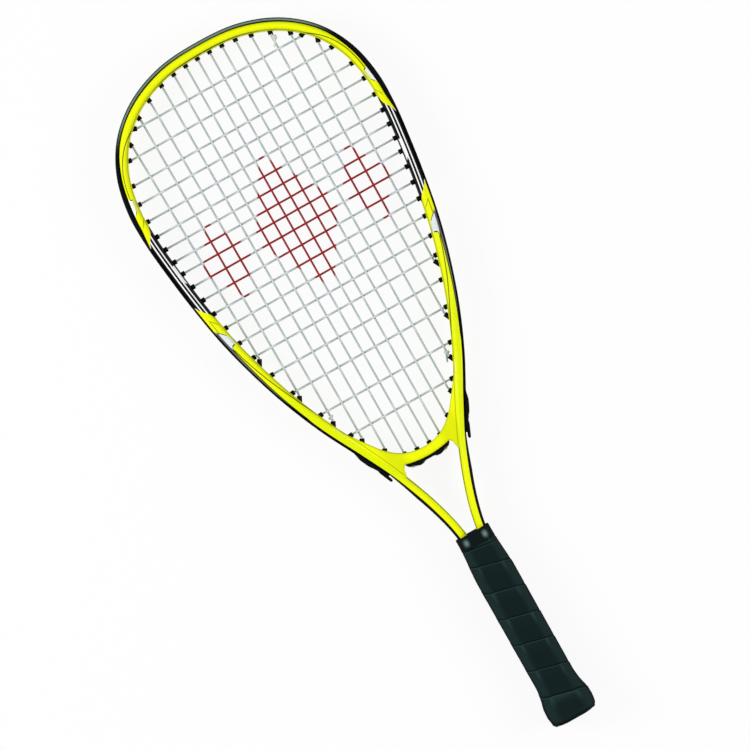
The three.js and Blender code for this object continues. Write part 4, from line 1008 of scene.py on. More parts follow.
def cross_path(layout):
    """The cross string from its knot at the upper right to its end at the lower left."""
    tied, first = layout.tops[4], layout.crosses[0]
    tie_z = STEP / 2
    foot = layout.feet[4]
    points = tie(tied, level_point(tied, foot) + UPPER_TIE_PLACE, foot.bend, 1, UPPER_TAIL_SHARES, 2.5)[::-1]
    points += [*out_through(tied, -tie_z),
               *lane_run(tied.place + LANE_LEAD, first.place - LANE_LEAD, LOOP_LANE, -LANE_Z),
               *reversed(out_through(first))]
    lefts = [h.mirror() for h in layout.crosses]
    rise = frame_strings().weave
    for cross, (right, left) in enumerate(zip(layout.crosses, lefts)):
        y = cross_y(cross)
        mains = [m for m in range(len(MAIN_TOP_SHARES)) if layout.is_crossed(m, y)]
        row = [(Vector((-main_x(m, y), y, 0)), rise * weave_sign(-1 - m, cross)) for m in reversed(mains)]
        row += [(Vector((main_x(m, y), y, 0)), rise * weave_sign(m, cross)) for m in mains]
        here, there = (right, left) if cross % 2 == 0 else (left, right)
        if cross % 2 == 0:
            row.reverse()
        points += woven(here.bend, there.bend, row)[1:]
        if cross + 1 < len(CROSS_SHARES):
            following = (lefts if cross % 2 == 0 else layout.crosses)[cross + 1]
            lane_z = -LANE_Z if is_passed(layout, there, following) else 0
            points += loop_between(there, following, lane_z)[1:]
    last, end = lefts[-1], layout.feet[3].mirror()
    points += [*out_through(last)[1:],
               *lane_run(last.place - LANE_LEAD, end.place + LANE_LEAD, LOOP_LANE, -LANE_Z),
               Vector((*end.exit[:2], -tie_z)), Vector((*end.bend[:2], -tie_z)),
               Vector((*(end.bend - end.out * TAIL / 6)[:2], -tie_z - TAIL / 4))]
    return points


def string_tube(points):
    """A round string through a path, as a bevelled curve turned into a mesh."""
    path = rounded_path(points, BEND_RADIUS)
    deselect()
    bpy.ops.curve.primitive_nurbs_path_add(location=(0, 0, 0))
    piece = bpy.context.object
    curve = piece.data
    curve.splines.clear()
    spline = curve.splines.new("POLY")
    spline.points.add(len(path) - 1)
    spline.points.foreach_set("co", [v for p in path for v in (*p, 1)])
    curve.bevel_depth = frame_strings().gauge / 2
    curve.bevel_resolution = 3
    curve.use_fill_caps = True
    bpy.ops.object.convert(target="MESH")
    return bpy.context.object


class RACKET_OT_strings(bpy.types.Operator):
    """String the head: fourteen mains and nineteen crosses, woven, looped outside and tied off"""

    bl_idname = "racket.strings"
    bl_label = "Strings"

    def execute(self, context):
        layout = Layout()
        finish = string_nylon("racket_string")
        mains = [*reversed(main_half(layout, -1)), edge.at(0, LOOP_LANE), *main_half(layout, 1)]
        keep(string_tube(mains), "racket_main_string", ["main_string"], finish, 60)
        keep(string_tube(cross_path(layout)), "racket_cross_string", ["cross_string"], finish, 60)
        return {"FINISHED"}


# Handle

WIDE_FLAT_SHARE = 0.05  # of the way round; a wider flat gets more rings


def handle_growth(y):
    """How much the handle swells or narrows at a height."""
    return FLARE * between(y / CAP_HEIGHT, FLARE_SHARES) + TAPER * between(y / HANDLE_LENGTH, TAPER_SHARES)


class HandleSection:
    """The handle's rounded octagon: a share of the way round gives a point and the direction out of it."""

    def __init__(self, radius):
        s = bpy.context.scene.racket_handle
        w, d, f, g = s.width / 2, s.depth / 2, s.front_flat / 2, s.side_flat / 2
        front = [(w, g), (f, d), (-f, d), (-w, g)]
        corners = [Vector(corner) for corner in [*front, *((-x, -y) for x, y in front)]]
        points, outs = [], []
        for i, corner in enumerate(corners):
            before = (corner - corners[i - 1]).normalized()
            after = (corners[(i + 1) % len(corners)] - corner).normalized()
            out_a, out_b = Vector((before.y, -before.x)), Vector((after.y, -after.x))
            middle = corner - (out_a + out_b) * radius / (1 + out_a.dot(out_b))
            for t in steps(0, 1, 4):
                out = out_a.lerp(out_b, t).normalized()
                points.append(middle + out * radius)
                outs.append(out)
        lengths = [0.0]
        ring = [*points, points[0]]
        for a, b in zip(ring, ring[1:]):
            lengths.append(lengths[-1] + (b - a).length)
        self.shares = [v / lengths[-1] for v in lengths]
        self.points, self.outs = ring, [*outs, outs[0]]

    def at(self, share, y, grow):
        """A point on the handle at a height, pushed out by a growth."""
        share %= 1
        i = min(int(np.searchsorted(self.shares, share, "right")) - 1, len(self.shares) - 2)
        t = (share - self.shares[i]) / (self.shares[i + 1] - self.shares[i])
        point, out = self.points[i].lerp(self.points[i + 1], t), self.outs[i].lerp(self.outs[i + 1], t)
        return Vector((point.x + out.x * grow, y, point.y + out.y * grow))

    def rings(self, profile):
        """A ring round the handle for every (height, growth) of a profile."""
        return [[self.at(share, y, grow) for share in self.shares[:-1]] for y, grow in profile]

    def shares_round(self):
        """Where the rings of a winding go: every point of the section, and three more on each flat."""
        shares = list(self.shares[:-1])
        for a, b in zip(self.shares, self.shares[1:]):
            if b - a > WIDE_FLAT_SHARE:
                shares += steps(a, b, 4)[1:-1]
        return sorted(shares)


# The wound strip's section: shares of the strip's width, from the lower edge to the upper, and of its
# thickness. The upper edge lies over the turn above.
GRIP_PROFILE_SHARES = [
    (0.94, 0.0), (1.0, 0.62), (1.0, 0.86), (0.985, 0.98), (0.95, 1.0), (0.88, 0.985), (0.75, 0.96),
    (0.6, 0.95), (0.45, 0.95), (0.3, 0.94), (0.18, 0.92), (0.1, 0.83), (0.05, 0.68), (0.0, 0.5),
    (0.0, 0.05), (0.1, 0.0), (0.5, 0.0),
]
GRIP_ROUNDING = 3.2 * MM
GRIP_START, GRIP_BELOW_COLLAR = 0.8 * MM, 0.3 * MM
GRIP_LAP = 1.6 * MM
GRIP_OFF_CORE = 0.3 * MM
WINDING_BACK = 5.5 * MM  # how far the first turn starts below the butt, where it is cut off level
WINDING_FIRST, WINDING_LAST = 1.2 * MM, 0.8 * MM  # cut from the winding's two ends
GRIP_THINS_SHARES = (0.78, 0.93)  # of the handle, where the strip thins
GRIP_END_RUN = 1.2 * MM
GRIP_END_SHARES = (0.55, 0.45)  # of the thickness: what an end keeps, and what comes back further in
LEAST_FACE = 0.002 * MM


class RACKET_OT_grip(bpy.types.Operator):
    """Wind the soft strip round the handle"""

    bl_idname = "racket.grip"
    bl_label = "Grip"

    def execute(self, context):
        s = context.scene.racket_handle
        section = HandleSection(GRIP_ROUNDING)
        shares = section.shares_round()
        start_y, top_y = GRIP_START, HANDLE_LENGTH - COLLAR_HEIGHT - GRIP_BELOW_COLLAR
        width = s.pitch + GRIP_LAP
        thins, thin = GRIP_THINS_SHARES
        at_end, further_in = GRIP_END_SHARES
        rings, marks = [], []
        count = len(shares)
        first = (WINDING_BACK + WINDING_FIRST) / s.pitch
        last = (top_y - start_y + s.pitch + WINDING_BACK - WINDING_LAST) / s.pitch
        for i in range(math.ceil(first * count), math.floor(last * count) + 1):
            turn = i // count + shares[i % count]
            climb = start_y + turn * s.pitch - WINDING_BACK
            ring, mark = [], []
            for across, out in GRIP_PROFILE_SHARES:
                y = min(max(climb - width * (1 - across), start_y), top_y)
                near_end = min(1, max(0, (min(y - start_y, top_y - y)) / GRIP_END_RUN))
                thick = between(y / HANDLE_LENGTH, [(thins, s.thick), (thin, s.thin)])
                thick *= out * (at_end + further_in * near_end)
                ring.append(section.at(shares[i % count], y, handle_growth(y) + GRIP_OFF_CORE + thick))
                mark.append(Vector((across, turn, out)))
            rings.append(ring)
            marks.append(mark)
        grip = sweep(rings, marks)
        bpy.ops.object.mode_set(mode="EDIT")
        bpy.ops.mesh.select_all(action="SELECT")
        bpy.ops.mesh.dissolve_degenerate(threshold=LEAST_FACE)
        face_outwards()
        keep(grip, "racket_grip", ["grip_wrap"], grip_leather("racket_grip"), 50)
        return {"FINISHED"}


# Collar, in millimetres round its section: heights over its lower or its upper edge, and distances out
COLLAR_ROUNDING = 3.6 * MM
COLLAR_LOWER = [(-0.5, 0.55), (-0.7, 0.95), (-0.5, 1.3), (0.3, 1.42), (2.5, 1.32), (5, 1.28)]
COLLAR_UPPER = [(-1.9, 1.3), (-0.9, 1.34), (-0.3, 1.2), (0, 0.8), (0, 0.2), (-0.1, -0.9), (-0.6, -1.2),
                (-1.1, -0.9), (-1.3, 0.4)]
COLLAR_SEAT = (1, 0.5)

# Cap: (height, distance in from the flared side) in millimetres, up to its rim and then over its dished end
CAP_SIDE = [(27.7, 0), (22.4, 0), (16, 0), (9, 0), (4, 0), (1.6, 0), (0.7, 0.15), (0.2, 0.6), (0.0, 1.2)]
CAP_END = [(0.0, 3.2), (0.5, 3.85), (0.9, 4.15)]
CAP_UNDER_STRIP = 0.7 * MM
CORD_HOLE_X, CORD_HOLE_RADIUS = 5.5 * MM, 1.5 * MM
CORD_HOLE_MIDDLE, CORD_HOLE_DRILL = 1 * MM, 3 * MM


class RACKET_OT_handle_ends(bpy.types.Operator):
    """Fit the rubber collar at the top of the handle and the cap at the butt"""

    bl_idname = "racket.handle_ends"
    bl_label = "Collar and cap"

    def execute(self, context):
        section = HandleSection(COLLAR_ROUNDING)
        low = HANDLE_LENGTH - COLLAR_HEIGHT
        grow = handle_growth(low)
        profile = [(low + up * MM, grow + out * MM) for up, out in COLLAR_LOWER]
        profile += [(HANDLE_LENGTH + up * MM, grow + out * MM) for up, out in COLLAR_UPPER]
        up, out = COLLAR_SEAT
        profile += [(low + up * MM, grow + out * MM), profile[0]]
        collar = sweep(section.rings(profile), caps=False)
        weld(collar)
        keep(collar, "racket_collar", ["grip_collar"], collar_rubber("racket_collar"), 60)
        keep(self.cap(), "racket_butt_cap", ["butt_cap"], cap_plastic("racket_cap"), 40)
        return {"FINISHED"}

    def cap(self):
        """The flared cap: a shell under the strip, with a dished end and two cord holes."""
        section = HandleSection(GRIP_ROUNDING)
        profile = [(y * MM, handle_growth(y * MM) - CAP_UNDER_STRIP - inset * MM) for y, inset in CAP_SIDE]
        profile += [(y * MM, handle_growth(0) - CAP_UNDER_STRIP - inset * MM) for y, inset in CAP_END]
        cap = sweep(section.rings(profile))
        deselect()
        cutters = []
        for side in (-1, 1):
            bpy.ops.mesh.primitive_cylinder_add(vertices=24, radius=CORD_HOLE_RADIUS, depth=CORD_HOLE_DRILL,
                                                location=(side * CORD_HOLE_X, CORD_HOLE_MIDDLE, 0),
                                                rotation=(math.pi / 2, 0, 0))
            cutters.append(bpy.context.object)
        cutter = joined(cutters)
        take(cap)
        bpy.ops.object.modifier_add(type="BOOLEAN")
        hole = cap.modifiers[-1]
        hole.operation, hole.object, hole.solver = "DIFFERENCE", cutter, "EXACT"
        bpy.ops.object.modifier_apply(modifier=hole.name)
        bpy.data.objects.remove(cutter)
        return cap


def weld(piece):
    """Joins the first and last sections of a closed sweep and points its faces outwards."""
    take(piece)
    bpy.ops.object.mode_set(mode="EDIT")
    bpy.ops.mesh.select_all(action="SELECT")
    bpy.ops.mesh.remove_doubles(threshold=TOUCHING / 2)
    face_outwards()


class RACKET_OT_handle_core(bpy.types.Operator):
    """Give the foam halves, the staples and the tape their finishes"""

    bl_idname = "racket.handle_core"
    bl_label = "Handle core"

    def execute(self, context):
        foam, steel, tape = foam_core("racket_foam"), staple_steel("racket_staple"), tape_film("racket_tape")
        finishes = {"pallet_front": foam, "pallet_back": foam, "cap_staple_front": steel,
                    "cap_staple_back": steel, "finishing_tape": tape}
        for name, finish in finishes.items():
            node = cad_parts[name]
            node.data.materials.clear()
            node.data.materials.append(finish)
        return {"FINISHED"}


# Finishes

class Nodes:
    """Adds nodes to the tree of a material or of the world, and links them."""

    def __init__(self, tree):
        self.tree = tree

    def node(self, kind, *inputs, **settings):
        node = self.tree.nodes.new("ShaderNode" + kind)
        for key, value in settings.items():
            setattr(node, key, value)
        for i, value in enumerate(inputs):
            if value is not None:
                self.feed(node.inputs[i], value)
        return node

    def feed(self, socket, value):
        if isinstance(value, bpy.types.NodeSocket):
            self.tree.links.new(value, socket)
        else:
            socket.default_value = (*value, 1) if socket.type == "RGBA" and len(value) == 3 else value

    def math(self, operation, a, b=0.0, c=0.0):
        return self.node("Math", a, b, c, operation=operation).outputs[0]

    def most(self, *values):
        """The greatest of some values."""
        return reduce(lambda a, b: self.math("MAXIMUM", a, b), values)

    def times(self, *values):
        return reduce(lambda a, b: self.math("MULTIPLY", a, b), values)

    def inverse(self, value):
        return self.math("SUBTRACT", 1.0, value)

    def size_of(self, value):
        """A value without its sign."""
        return self.math("ABSOLUTE", value)

    def gap(self, a, b):
        return self.size_of(self.math("SUBTRACT", a, b))

    def range(self, value, low, high):
        return self.node("MapRange", value, 0.0, 1.0, low, high).outputs[0]

    def seen(self):
        """One for light that reaches the camera straight, by a reflection or through glass."""
        path = self.node("LightPath").outputs
        return self.most(*(path[f"Is {kind} Ray"] for kind in ("Camera", "Glossy", "Transmission")))


class Finish(Nodes):
    """Builds the nodes of one material."""

    def __init__(self, name, **shader):
        self.material = bpy.data.materials.new(name)
        self.material.use_nodes = True
        super().__init__(self.material.node_tree)
        self.shader = self.tree.nodes["Principled BSDF"]
        for key, value in shader.items():
            self.shader.inputs[key.replace("_", " ").title().replace("Ior", "IOR")].default_value = value

    def place(self, kind="Object"):
        """The three numbers of a point's place, or with Normal those of the way that its face looks."""
        return self.node("SeparateXYZ", self.node("TexCoord").outputs[kind]).outputs

    def facing(self):
        """One on faces that look to the front or the back, zero on faces that look sideways."""
        return self.size_of(self.place("Normal")[2])

    def mark(self):
        """The three numbers that the piece's points carry."""
        mark = self.node("Attribute", attribute_name="mark")
        return self.node("SeparateXYZ", mark.outputs["Vector"]).outputs

    def noise(self, scale, detail=2.0, roughness=0.5):
        place = self.node("TexCoord").outputs["Object"]
        return self.node("TexNoise", place, None, scale, detail, roughness).outputs["Fac"]

    def step(self, value, start, end):
        """Zero up to one value, one past another, smooth between."""
        node = self.node("MapRange", value, start, end, 0.0, 1.0, interpolation_type="SMOOTHSTEP")
        return node.outputs[0]

    def fall(self, value, start, end):
        """One up to one value, zero past another."""
        return self.inverse(self.step(value, start, end))

    def band(self, value, start, end, soft):
        """One between two values and zero outside them."""
        rise = self.step(value, start - soft, start + soft)
        return self.times(rise, self.fall(value, end - soft, end + soft))

    def over(self, value, line, soft):
        """One where a value lies beyond a line, zero short of it."""
        return self.step(self.math("SUBTRACT", value, line), -soft, soft)

    def short_of(self, value, line, soft):
        """One where a value lies short of a line, zero beyond it."""
        return self.inverse(self.over(value, line, soft))

    def thin(self, off, half):
        """One on a thin line, from how far off it a point lies and half the line's width."""
        return self.fall(off, half, half * 2.2)

    def line(self, value, points):
        """A broken line through (value, result) points."""
        (low, _), (high, _) = points[0], points[-1]
        results = [result for _, result in points]
        floor, span = min(results), max(max(results) - min(results), 1e-6)
        share = self.node("MapRange", value, float(low), float(high), 0.0, 1.0).outputs[0]
        node = self.node("FloatCurve", 1.0, share)
        curve = node.mapping.curves[0]
        while len(curve.points) > 2:
            curve.points.remove(curve.points[1])
        rows = [((at - low) / (high - low), (result - floor) / span) for at, result in points]
        curve.points[0].location, curve.points[-1].location = rows[0], rows[-1]
        for row in rows[1:-1]:
            curve.points.new(*row)
        for point in curve.points:
            point.handle_type = "VECTOR"
        node.mapping.update()
        return self.math("MULTIPLY_ADD", node.outputs[0], span, floor)

    def stripe(self, along, inwards, row, half):
        """A thin line that runs along the frame."""
        off = self.gap(inwards, self.line(along, row))
        return self.times(self.thin(off, half), self.band(along, row[0][0], row[-1][0], 1.5))

    def mix(self, share, a, b):
        node = self.node("Mix", data_type="RGBA")
        self.feed(node.inputs[0], share)
        self.feed(node.inputs[6], a)
        self.feed(node.inputs[7], b)
        return node.outputs[2]

    def colour(self, value):
        self.feed(self.shader.inputs["Base Color"], value)

    def roughness(self, value):
        self.feed(self.shader.inputs["Roughness"], value)

    def bump(self, height, distance, strength=1.0):
        node = self.node("Bump")
        node.inputs["Strength"].default_value = strength
        node.inputs["Distance"].default_value = distance
        self.feed(node.inputs["Height"], height)
        self.tree.links.new(node.outputs[0], self.shader.inputs["Normal"])


def colours():
    """The racket's colours, as plain tuples."""
    chosen = bpy.context.scene.racket_colours
    return SimpleNamespace(**{key: tuple(getattr(chosen, key)) for key in RacketColours.__annotations__})


# The paint on the frame, with its painted shade and highlights, all in millimetres: rows of (depth in from
# the outer edge, distance from the tip), or the other way round for lines that run along it. Places are
# distances from the tip.
PINSTRIPE_TIP = [(84, 8.9), (92, 7.7), (98, 6.7), (104, 6.0), (110, 5.4), (120, 5.0), (140, 5.4)]
PINSTRIPE_SIDE = [(274, 3.7), (285, 4.0), (297, 4.7), (306, 5.3), (316, 6.2), (328, 7.3), (340, 8.1),
                  (356, 9.2)]
SHOULDER_PATCH = ([(3.6, 139.6), (5.4, 140.4), (7.6, 141.2), (9.0, 143.5)],
                  [(3.6, 153.8), (5.6, 151.8), (7.8, 148.4), (9.0, 145.2)])
SIDE_PATCH = ([(1.2, 254.6), (3.3, 257.6), (5.5, 260.5), (7.2, 263.4), (8.4, 268)],
              [(3.0, 277), (3.5, 273.6), (4.5, 271.7), (6.5, 271.3), (8.4, 272.4)])
DARK_ZONE = ([(0.6, 181.5), (1.0, 180.2), (3.7, 175.2), (5.8, 172.3), (7.6, 169.8), (9.2, 163.5)],
             [(0.6, 231), (1.2, 232), (3.3, 237), (5.8, 240.6), (7.2, 242.8), (8.6, 246.2), (9.4, 249)])
DARK_ZONE_LINES = ((3.55, 4.5), (6.05, 6.9))
WHITE_BLOCK = ([(5, 198.7), (9, 198.7)], [(5.9, 212), (6.9, 213.2), (8.5, 215.7)])
WHITE_BLOCK_DEPTHS = (5.9, 8.3)
EDGE_LINE = [(228, 1.2), (300, 1.35), (320, 1.6), (335, 1.85), (350, 2.0), (380, 2.1), (400, 2.3), (416, 2.5),
             (428, 2.5), (440, 2.3), (460, 2.1), (500, 1.9)]
BUMPER_SHADE_LINE = [(0, 2.5), (20, 2.95), (45, 3.2), (60, 3.2), (80, 3.0), (100, 3.0), (120, 3.65), (140, 4.0),
               (152, 4.0), (162, 3.5), (170, 2.4), (176, 1.2)]
CREST_LINE = [(0, 8.8), (25, 9.0), (48, 9.3)]
FAINT_LINES = ([(246.5, 3.9), (252, 3.8), (258, 3.7)], [(247, 4.3), (249.5, 5.6), (252.5, 7.4)],
               [(158, 8.4), (161, 6.6), (164, 5.4)])
# Painted shade in the crease where the bridge meets the arms
INNER_CREASE_SHADE = [(372, 8.6), (384, 8.4), (400, 8.3), (428, 7.9)]
LIT_RIDGE = [(366, 7.6), (384, 7.4), (400, 7.5), (428, 7.2)]
EDGE_SHADE = [(256, 2.9), (275, 3.0), (290, 2.7), (310, 2.4), (330, 2.2), (352, 2.0)]
SHOULDER_RIMS, SIDE_RIMS = (5.0, 6.9), (2.8, 6.9)
SHOULDER_WHITE_TO, SIDE_WHITE_TO = 6.1, 7.5

INNER_SHADE_DEPTHS = (4.5 * MM, 5.5 * MM)  # from the outer edge, where the painted shade of the inner edge begins
ARM_SHADE_PLACES = (424 * MM, 432 * MM)
LIME_SHADE_PLACES, LIME_SHADE_DEPTHS = (322, 432), (2.9, 6.2)
GREY_PLACES, GREY_PALER = (256, 348), (270, 282)
BUMPER_SHADE_PLACES = (172, 176)
EDGE_LINE_PLACES = (228, 232)
GROOVE_DEPTHS, GROOVE_HEIGHTS = (5.5, 5.7), (5.5, 5.75)
WALL_HEIGHTS = (4.5, 6)
# Distances from the axis over which the bridge's wings get painted shade
BRIDGE_SHADED_WING = (15 * MM, 30 * MM)


def yellow_lacquer(name, painted):
    """Yellow lacquer with painted shade where a rounded edge turns away. The frame's has its paint on it; the
    bridge has painted shade over its wings and along its crease.
    """
    yellow = colours().yellow
    f = Finish(name, specular_ior_level=0.0, coat_weight=0.12, coat_roughness=0.12)
    base = f.mix(f.range(f.noise(45, 3), 0.0, 0.16), yellow, tinted(yellow, 0.86))
    # Painted shade: faces that turn sideways are darkened towards black
    painted_edge_shade = f.times(f.band(f.facing(), 0.12, 0.4, 0.06), 0.45)
    place, depth, height = f.mark()
    along, inwards = (f.math("MULTIPLY", v, 1000.0) for v in (place, depth))
    if painted:
        base = frame_paint(f, base, along, inwards, f.size_of(f.math("MULTIPLY", height, 1000.0)))
        # The painted shade is stronger on the arms
        more = f.math("ADD", 1.0, f.times(f.step(place, *ARM_SHADE_PLACES), 0.7))
        painted_edge_shade = f.times(painted_edge_shade, f.step(depth, *INNER_SHADE_DEPTHS), more)
    else:
        # Painted shade over the bridge's wings, darker than its middle
        wing_shade = f.band(f.size_of(f.place()[0]), *BRIDGE_SHADED_WING, 4 * MM)
        base = f.mix(f.times(wing_shade, 0.5), base, tinted(yellow, 0.7))
        # Painted shade along the crease where the bridge meets the arm
        base = f.mix(f.times(f.stripe(along, inwards, INNER_CREASE_SHADE, 0.2), 0.6), base, tinted(yellow, 0.25))
    f.colour(f.mix(painted_edge_shade, base, colours().black))
    f.roughness(f.range(f.noise(300, 2), 0.28, 0.42))
    f.bump(f.noise(900, 2), 0.02 * MM, 0.5)
    return f.material


def frame_paint(f, base, along, inwards, height):
    """The frame's paint over its yellow lacquer: pale patches, dark bands and thin lines, with painted shade
    and highlights.
    """
    c = colours()
    off_the_wall = f.step(height, *WALL_HEIGHTS)

    def patch(ends, soft=0.25):
        start, end = (f.line(inwards, row) for row in ends)
        return f.times(f.over(along, start, soft), f.short_of(along, end, soft))

    def rim(row, low, high, half):
        """A thin line along a slanted border."""
        return f.times(f.thin(f.gap(along, f.line(inwards, row)), half), f.band(inwards, low, high, 0.2))

    def pinstripe(row, half, strength, tint=c.black):
        return f.mix(f.times(f.stripe(along, inwards, row, half), off_the_wall, strength), base, tint)

    for row in (PINSTRIPE_TIP, PINSTRIPE_SIDE):
        base = pinstripe(row, 0.23, 0.85)
    for row in FAINT_LINES:
        base = pinstripe(row, 0.18, 0.7)
    # Painted shade: the outer half of the arms is darkened to a greenish yellow
    lime_shade = f.times(f.band(along, *LIME_SHADE_PLACES, 12), f.band(inwards, *LIME_SHADE_DEPTHS, 0.9), 0.5)
    base = f.mix(lime_shade, base, (c.yellow[0] * 0.72, c.yellow[1] * 0.86, 0))
    base = pinstripe(LIT_RIDGE, 0.35, 0.5, shade(255, 255, 140))
    pale = f.mix(f.range(f.noise(60, 2), 0, 0.35), c.silver, tinted(c.silver, 0.75))
    bright = tinted(c.silver, 1.25)
    for ends, white_to, rims, tint in ((SHOULDER_PATCH, SHOULDER_WHITE_TO, SHOULDER_RIMS, bright),
                                       (SIDE_PATCH, SIDE_WHITE_TO, SIDE_RIMS, pale)):
        area, fade = patch(ends), f.fall(inwards, white_to - 0.4, white_to + 0.6)
        base = f.mix(f.times(area, fade), base, tint)
        # Below the white, the patch turns into a pale yellow-olive wash: a painted reflection
        base = f.mix(f.times(area, f.inverse(fade), 0.6), base, shade(200, 208, 145))
        for row in ends:
            base = f.mix(rim(row, *rims, 0.28), base, c.black)
    # A grey stripe along the outer edge with a black line at its border: the stripe is real, its darkness
    # partly painted shade
    low, high = GREY_PLACES
    shade_line = f.line(along, EDGE_SHADE)
    grey = f.times(f.short_of(inwards, shade_line, 0.2), f.band(along, low, high, 2), 0.95)
    dark_grey, pale_grey = tinted(c.silver, 0.07), tinted(c.silver, 0.18)
    base = f.mix(grey, base, f.mix(f.step(along, *GREY_PALER), dark_grey, pale_grey))
    border = f.fall(f.gap(inwards, shade_line), 0.2, 0.42)
    base = f.mix(f.times(border, f.band(along, low + 16, high + 2, 3)), base, c.black)
    zone = patch(DARK_ZONE)
    base = f.mix(zone, base, c.black)
    for low, high in DARK_ZONE_LINES:
        base = f.mix(f.times(zone, f.band(inwards, low, high, 0.12)), base, bright)
    base = f.mix(f.times(patch(WHITE_BLOCK), f.band(inwards, *WHITE_BLOCK_DEPTHS, 0.15)), base, bright)
    for row, reach in zip(DARK_ZONE, (2.6, 2.4)):
        base = f.mix(rim(row, 1.0, reach, 0.3), base, bright)
    # Painted shade along the crease where the arm meets the bridge
    base = pinstripe(INNER_CREASE_SHADE, 0.2, 0.6, tinted(c.yellow, 0.25))
    base = pinstripe(CREST_LINE, 0.35, 0.9)
    # Painted shade: a dark line on the tube beside the bumper
    shade_beside_bumper = f.short_of(inwards, f.line(along, BUMPER_SHADE_LINE), 0.12)
    base = f.mix(f.times(shade_beside_bumper, f.fall(along, *BUMPER_SHADE_PLACES)), base, c.black)
    groove = f.times(f.fall(inwards, *GROOVE_DEPTHS), f.fall(height, *GROOVE_HEIGHTS))
    edge_band = f.most(f.short_of(inwards, f.line(along, EDGE_LINE), 0.12), groove)
    return f.mix(f.times(edge_band, f.step(along, *EDGE_LINE_PLACES)), base, c.black)


HIGHLIGHT_FADES = (78 * MM, 106 * MM)  # from the tip
HIGHLIGHT_DEPTHS = (0.8 * MM, 2.1 * MM)


def strip_plastic(name, highlighted_bumper):
    """Moulded black plastic. The bumper has a painted slate-grey highlight at the tip that fades to black
    further down.
    """
    c = colours()
    f = Finish(name, specular_ior_level=0.0, coat_weight=0.08, coat_roughness=0.35)
    scuff = f.noise(400, 4, 0.7)
    tint = c.black
    if highlighted_bumper:
        # Painted highlight: slate grey on the bumper's tip, fading along it; its two edges stay black as
        # painted shade
        place, depth, _ = f.mark()
        pale = f.times(f.fall(f.size_of(place), *HIGHLIGHT_FADES), f.band(depth, *HIGHLIGHT_DEPTHS, 0.25 * MM))
        tint = f.mix(pale, tint, c.highlighted_bumper)
    f.colour(f.mix(f.range(scuff, 0, 0.3), tint, (0.012, 0.015, 0.016)))
    f.roughness(f.range(scuff, 0.35, 0.6))
    f.bump(scuff, 0.05 * MM, 0.5)
    return f.material


DIAMOND_GAP = 4 * MM
HIGHLIGHT_SHARES = (1.25, 1.95)  # of the weave, the heights between which a string gets a painted highlight


def string_nylon(name):
    """Pale string with a row of three painted diamonds across the middle of the head, and painted highlights
    on the high places of the weave.
    """
    c, s = colours(), frame_strings()
    f = Finish(name, specular_ior_level=0.2, coat_weight=0.05, coat_roughness=0.2)
    x, y, z = f.place()
    across, up = f.size_of(x), f.gap(y, s.motif_middle)
    width, height, share = s.motif_half_width, s.motif_half_height, s.motif_side_share
    motif = 0.0
    for middle, size in ((0.0, 1), (width + DIAMOND_GAP + width * share, share)):
        off = f.math("DIVIDE", f.gap(across, middle), width * size)
        inside = f.fall(f.math("ADD", off, f.math("DIVIDE", up, height * size)), 0.98, 1.02)
        motif = f.most(inside, motif)
    worn = f.mix(f.range(f.noise(500, 3), 0, 0.4), c.motif, tinted(c.motif, 0.45))
    # Painted highlight on the high places of the weave: paler string and brighter red
    painted_highlight = f.times(f.step(f.size_of(z), *(s.weave * v for v in HIGHLIGHT_SHARES)), 0.6)
    pale = f.mix(painted_highlight, c.string, shade(236, 242, 243))
    f.colour(f.mix(motif, pale, f.mix(painted_highlight, worn, tinted(c.motif, 1.7))))
    f.roughness(f.range(f.noise(800, 2), 0.3, 0.45))
    f.bump(f.noise(1500, 2), 0.02 * MM, 0.4)
    return f.material


STRIP_END_Y, STRIP_END_SLOPE = 141.4 * MM, 0.125  # the slanted line where the wound strip ends on the front
# Across the strip's end: a painted highlight below it and painted shade above it
STRIP_END_HIGHLIGHT, STRIP_END_SHADE = (-0.9 * MM, -0.1 * MM), (0.1 * MM, 0.8 * MM)
# Heights above the butt over which painted shade fades out
BUTT_SHADE_HEIGHTS = (0.8 * MM, 4.5 * MM)


